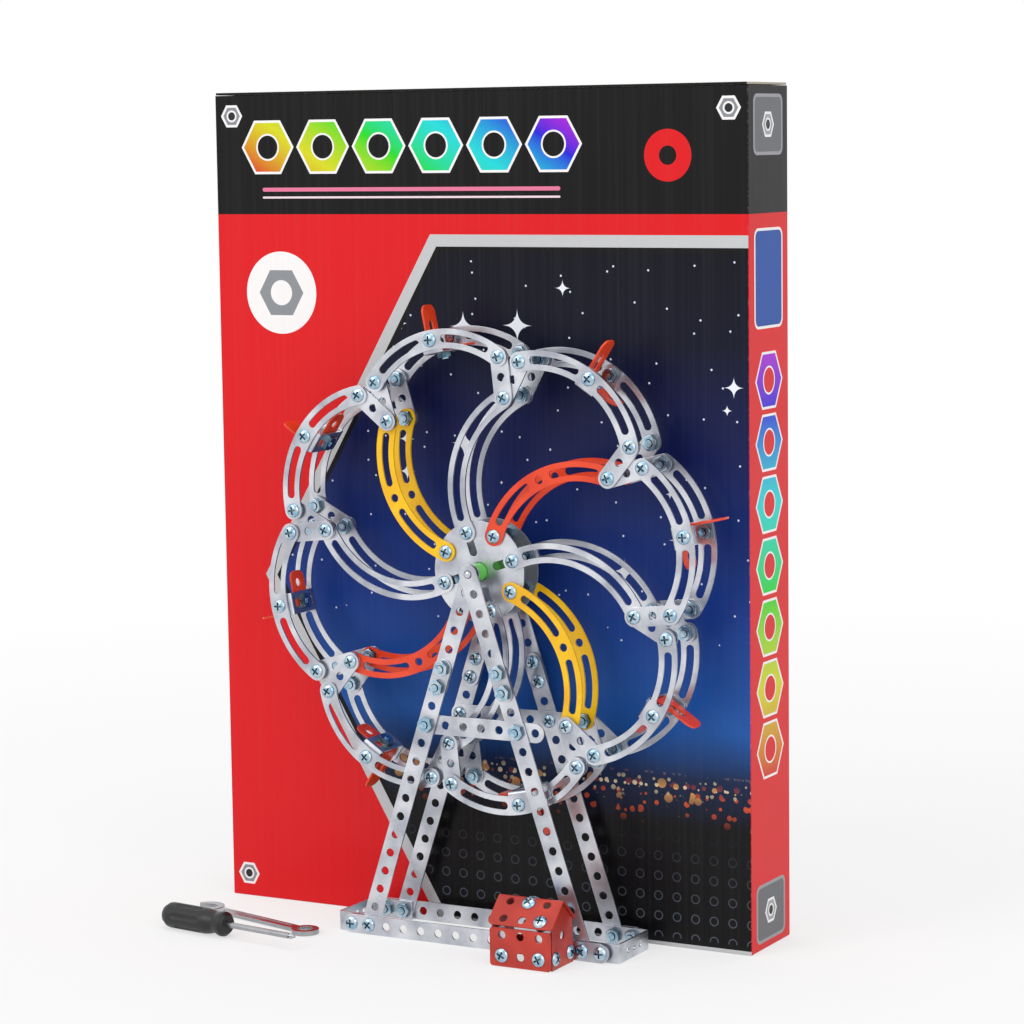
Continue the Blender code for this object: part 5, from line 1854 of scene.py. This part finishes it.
    def _punched_foot(self, press: Press, inside: Node) -> None:
        """Rows of rings, as the holes of a punched plate, faint on the dark foot."""
        pitch = STOCK.pitch / MM
        way = press.way_from(0.0, pitch / 2, (pitch, pitch))
        holes = add(press.tree, "VectorMath", {0: way}, operation="LENGTH")
        ring = add(press.tree, "Math", {0: holes, 1: STOCK.hole_radius / MM, 2: self.front.ring_line},
                   operation="COMPARE")
        foot, head = self.front.ring_heights
        low = add(press.tree, "MapRange", {0: press.v, 1: foot, 2: head, 3: 0.35, 4: 0.0})
        press.lay(Ink.RING, inside, ring, low)

    def _side_print(self) -> Material:
        """Both narrow sides: a column of coloured nuts, a blank blue label, and grey plates at the ends."""
        press, at = Press("varnished_print_sides", "Y", Ink.RED), self.side
        self._header(press)
        rainbow = press.rainbow((0.0, 1.0), *at.rainbow)
        for height in at.nut_heights:
            press.nuts(press.way_from(0.0, height), at.nut_flats, rainbow, Ink.RED)
        press.framed(press.way_from(0.0, at.label_height), at.label_half, at.label_rim, at.label_corners,
                     (Ink.WHITE, Ink.LABEL_BLUE))
        for height in at.plate_heights:
            plate = press.way_from(0.0, height)
            press.framed(plate, at.plate_half, at.plate_rim, at.plate_corners, (Ink.PLATE_RIM, Ink.PLATE))
            press.nuts(plate, at.plate_nut, Ink.PLATE_NUT, Ink.BORE)
        return press.varnished(self.depth / 2 / MM)

    def _back_print(self) -> Material:
        """The back: the black header, and punched strips at their own size on a pale panel."""
        press, at = Press("varnished_print_back", "X", Ink.RED), self.back
        self._header(press)
        press.nut_row(at.header_nuts, press.rainbow((-1.0, 1.6), *at.header_rainbow), Ink.BLACK)
        press.framed(press.way_from(*at.panel), at.panel_half, at.panel_rim, at.panel_corners,
                     (Ink.SILVER, Ink.WHITE))
        for u, v, holes, ink in at.strips:
            press.strip(u, v, holes, ink, Ink.WHITE)
        press.nut_row(at.foot_nuts, Ink.ZINC, Ink.WHITE)
        return press.varnished(self.width / 2 / MM)

    def _top_print(self) -> Material:
        """The lid and the floor: pale warm card with a row of yellow nuts."""
        press = Press("varnished_print_top", "X", Ink.CARD, "Y")
        press.nut_row(self.top_nuts, Ink.YELLOW, Ink.CARD_BORE)
        return press.varnished(self.width / 2 / MM)

    def build(self) -> None:
        """Folds the carton and its lid, and prints each face."""
        half = self.width / 2
        body = block("carton_walls", (-half, -self.depth / 2, 0.0), (half, self.depth / 2, self.wall_top))
        pick(body, "FACE", lambda face: face.normal.z > 0.5)
        bpy.ops.mesh.inset(thickness=self.card)
        hollow = Vector((0.0, 0.0, self.card - self.wall_top))
        bpy.ops.mesh.extrude_region_move(TRANSFORM_OT_translate={"value": hollow})
        rest()
        pick(body, "EDGE", lambda edge: self._is_outer_fold(body, edge))
        bpy.ops.mesh.bevel(offset=self.crease, segments=4, affect="EDGES")
        tidied(body)
        prints = [self._front_print(), self._side_print(), self._back_print(), self._top_print(),
                  self.finishes.board]
        body.data.materials.clear()
        for material in prints:
            body.data.materials.append(material)
        for face in body.data.polygons:
            face.material_index = self._side_of(face)
        handed_over(body, Body.STAND, Slot.CARD, "carton_body")
        tongue_print = Press("varnished_print_tongue", "X", Ink.BLACK).varnished(self.width / 2 / MM)
        self._lid(prints[3], tongue_print)

    def _is_outer_fold(self, body: Piece, edge: bpy.types.MeshEdge) -> bool:
        """Tells whether an edge is one of the outer folds of the walls or floor."""
        points = [body.data.vertices[i].co for i in edge.vertices]
        sides = [(abs(abs(p.x) - self.width / 2) < NEAR) + (abs(abs(p.y) - self.depth / 2) < NEAR)
                 + (abs(p.z) < NEAR) for p in points]
        middle = (points[0] + points[1]) / 2
        level = (abs(abs(middle.x) - self.width / 2) < NEAR) + (abs(abs(middle.y) - self.depth / 2) < NEAR)
        return min(sides) >= 2 and (level + (abs(middle.z) < NEAR)) >= 2

    def _side_of(self, face: bpy.types.MeshPolygon) -> int:
        """Which print a face of the body carries: front, side, back, floor, or the bare inside."""
        middle, normal = face.center, face.normal
        inner = (abs(middle.x) < self.width / 2 - 0.9 * self.card and abs(middle.y) < self.depth / 2
                 - 0.9 * self.card and middle.z > 0.9 * self.card) or middle.z > self.wall_top - NEAR
        if inner:
            return 4
        if normal.z < -0.9:
            return 3
        if abs(normal.x) > abs(normal.y):
            return 1
        return 0 if normal.y < 0 else 2

    def _lid(self, top: Material, tongue_print: Material) -> None:
        """The top panel, and the tongue that tucks inside the front wall."""
        half = self.width / 2 - self.lid_side_inset
        low = self.height - self.card
        panel = eased(block("lid_panel", (-half, -self.depth / 2, low), (half, self.depth / 2, self.height)),
                      self.crease * 0.5, 3)
        for material in (top, self.finishes.board, tongue_print):
            panel.data.materials.append(material)
        for face in panel.data.polygons:
            face.material_index = 2 if face.normal.y < -0.3 else int(face.normal.z < 0.3)
        wide = 2 * (self.width / 2 - self.tongue_side_inset)
        bar = DrawnBar("tongue", wide, self.card)
        bar.run(self.tongue_depth)
        tongue = bar.done(self.tongue_corner, 8)
        put(tongue, rotated(QUARTER, "Z") @ rotated(QUARTER, "Y"))
        tongue.data.materials.append(tongue_print)
        tongue.data.materials.append(self.finishes.board)
        for face in tongue.data.polygons:
            face.material_index = 0 if face.normal.y < -0.5 else 1
        hung = (moved(0.0, -self.depth / 2 + 2 * self.card + STOCK.gap, low + self.card / 2)
                @ rotated(self.tongue_lean, "X"))
        put(eased(tongue, self.crease * 0.4, 2), hung)
        lid = joined("tuck_lid", [panel, tongue])
        handed_over(lid, Body.LID, Slot.CARD, "carton_lid")


# The studio

@dataclass(frozen=True)
class Lamp:
    """One square soft lamp: its place and side in metres, and its power in watts."""

    name: str
    place: tuple[float, float, float]
    size: float
    watts: float


@dataclass
class Studio:
    """A pale floor, soft lamps, and a camera at the photograph's place."""

    azimuth: float = math.radians(28.71)
    elevation: float = math.radians(6.746)
    roll: float = math.radians(-0.771)
    focal_px: float = 3173.0
    frame_px: float = 1024.0
    sensor_mm: float = 36.0
    distance: float = 1.5839
    across: float = 0.0183
    up: float = -0.0003
    target: tuple[float, float, float] = (0.0, -0.023, 0.210)
    lamps: tuple[Lamp, ...] = (Lamp("key_left", (-1.1, -2.0, 1.7), 1.4, 20.0),
                               Lamp("fill_right", (1.9, -1.2, 1.1), 1.6, 11.0),
                               Lamp("top_soft", (0.1, -0.2, 2.2), 1.6, 9.0))
    world_level: float = 0.70
    floor_radius: float = 8.0
    floor_drop: float = 0.0002
    floor_tint: str = "#EDEDED"
    floor_fade: Point = (0.25, 1.1)
    floor_white: float = 0.62

    def _camera(self) -> None:
        """The camera, at the place that was fitted to the carton's corners in the photograph."""
        sine, cosine = math.sin(self.azimuth), math.cos(self.azimuth)
        level = math.cos(self.elevation)
        ahead = Vector((-sine * level, cosine * level, -math.sin(self.elevation)))
        right = Vector((cosine, sine, 0.0))
        above = right.cross(ahead)
        turned_right = math.cos(self.roll) * right + math.sin(self.roll) * above
        turned_up = -math.sin(self.roll) * right + math.cos(self.roll) * above
        rest()
        bpy.ops.object.camera_add()
        camera = bpy.context.object
        camera.name = "photo_camera"
        camera.data.sensor_width = self.sensor_mm
        camera.data.sensor_fit = "HORIZONTAL"
        camera.data.lens = self.focal_px * self.sensor_mm / self.frame_px
        camera.data.clip_start = 0.05
        camera.data.clip_end = 100.0
        turn = Matrix((turned_right, turned_up, -ahead)).transposed().to_4x4()
        place = Vector(self.target) - ahead * self.distance + right * self.across + above * self.up
        camera.matrix_world = moved(*place) @ turn
        bpy.context.scene.camera = camera

    def _hang(self, lamp: Lamp) -> None:
        """Hangs one lamp, pointed at the set."""
        rest()
        bpy.ops.object.light_add(type="AREA", location=lamp.place)
        light = bpy.context.object
        light.name = lamp.name
        light.data.shape = "SQUARE"
        light.data.size = lamp.size
        light.data.energy = lamp.watts
        light.rotation_euler = (Vector(self.target) - Vector(lamp.place)).to_track_quat("-Z", "Y").to_euler()

    def _pale_rays(self, tree: Tree) -> Socket:
        """1 for the rays that see the background directly, in metal or through glass."""
        path = add(tree, "LightPath")
        seen = add(tree, "Math", {0: path.outputs["Is Camera Ray"], 1: path.outputs["Is Glossy Ray"]},
                   operation="MAXIMUM")
        through = {0: seen, 1: path.outputs["Is Transmission Ray"]}
        return live(add(tree, "Math", through, operation="MAXIMUM"))

    def _world(self) -> None:
        """White where it is seen, and a moderate level for the light that it gives."""
        world = bpy.data.worlds.new("soft_studio")
        world.use_nodes = True
        tree = world.node_tree
        background = tree.nodes["Background"]
        background.inputs["Color"].default_value = (1.0, 1.0, 1.0, 1.0)
        add(tree, "MapRange", {0: self._pale_rays(tree), 3: self.world_level, 4: 1.0},
            background.inputs["Strength"])
        bpy.context.scene.world = world

    def _floor(self) -> None:
        """A wide pale floor that keeps the set's shadow and fades to white away from it."""
        rest()
        bpy.ops.mesh.primitive_circle_add(vertices=96, radius=self.floor_radius, fill_type="NGON",
                                          location=(0.0, 0.0, -self.floor_drop))
        floor = settle(newest("studio_floor"))
        material, tree, shader, spot = fresh("matt_white_floor")
        shader.inputs["Base Color"].default_value = linear(self.floor_tint)
        shader.inputs["Roughness"].default_value = 0.9
        shader.inputs["Specular IOR Level"].default_value = 0.1
        white = add(tree, "Emission", {"Color": (1.0, 1.0, 1.0, 1.0), "Strength": 1.0})
        reach = add(tree, "VectorMath", {0: spot}, operation="LENGTH")
        near, far = self.floor_fade
        fade = add(tree, "MapRange", {0: reach, 1: near, 2: far, 3: self.floor_white, 4: 1.0})
        share = add(tree, "Math", {0: self._pale_rays(tree), 1: fade}, operation="MULTIPLY")
        surface = tree.nodes["Material Output"].inputs["Surface"]
        add(tree, "MixShader", {0: share, 1: shader, 2: white}, surface)
        coated(floor, material)

    def build(self) -> None:
        """Sets up the floor, the world, the lamps and the camera."""
        self._floor()
        self._world()
        for lamp in self.lamps:
            self._hang(lamp)
        self._camera()
        bpy.context.scene.view_settings.view_transform = "Standard"


def main() -> None:
    """Builds the set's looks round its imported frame."""
    logging.basicConfig(level=logging.INFO, format="%(message)s")
    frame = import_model()
    middle = Vector(next(joint["pos_m"] for joint in frame["joints"] if joint["name"] == "wheel_spin"))
    finishes = Finishes()
    hardware = Hardware(finishes.zinc, finishes.painted_shade_zinc)
    wheel = Wheel(finishes, hardware, middle)
    wheel.build()
    Seat(finishes, hardware, wheel).build()
    Stand(finishes, hardware, Vector((middle.x, middle.y, 0.0))).build()
    booth_low, booth_high = (Vector(corner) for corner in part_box("booth_walls"))
    TicketBooth(finishes, hardware, Vector(((booth_low.x + booth_high.x) / 2, booth_low.y, 0.0))).build()
    Carton(finishes).build()
    Spanner(finishes).build()
    Screwdriver(finishes).build()
    hardware.cleared()
    Studio().build()


if __name__ == "__main__":
    main()
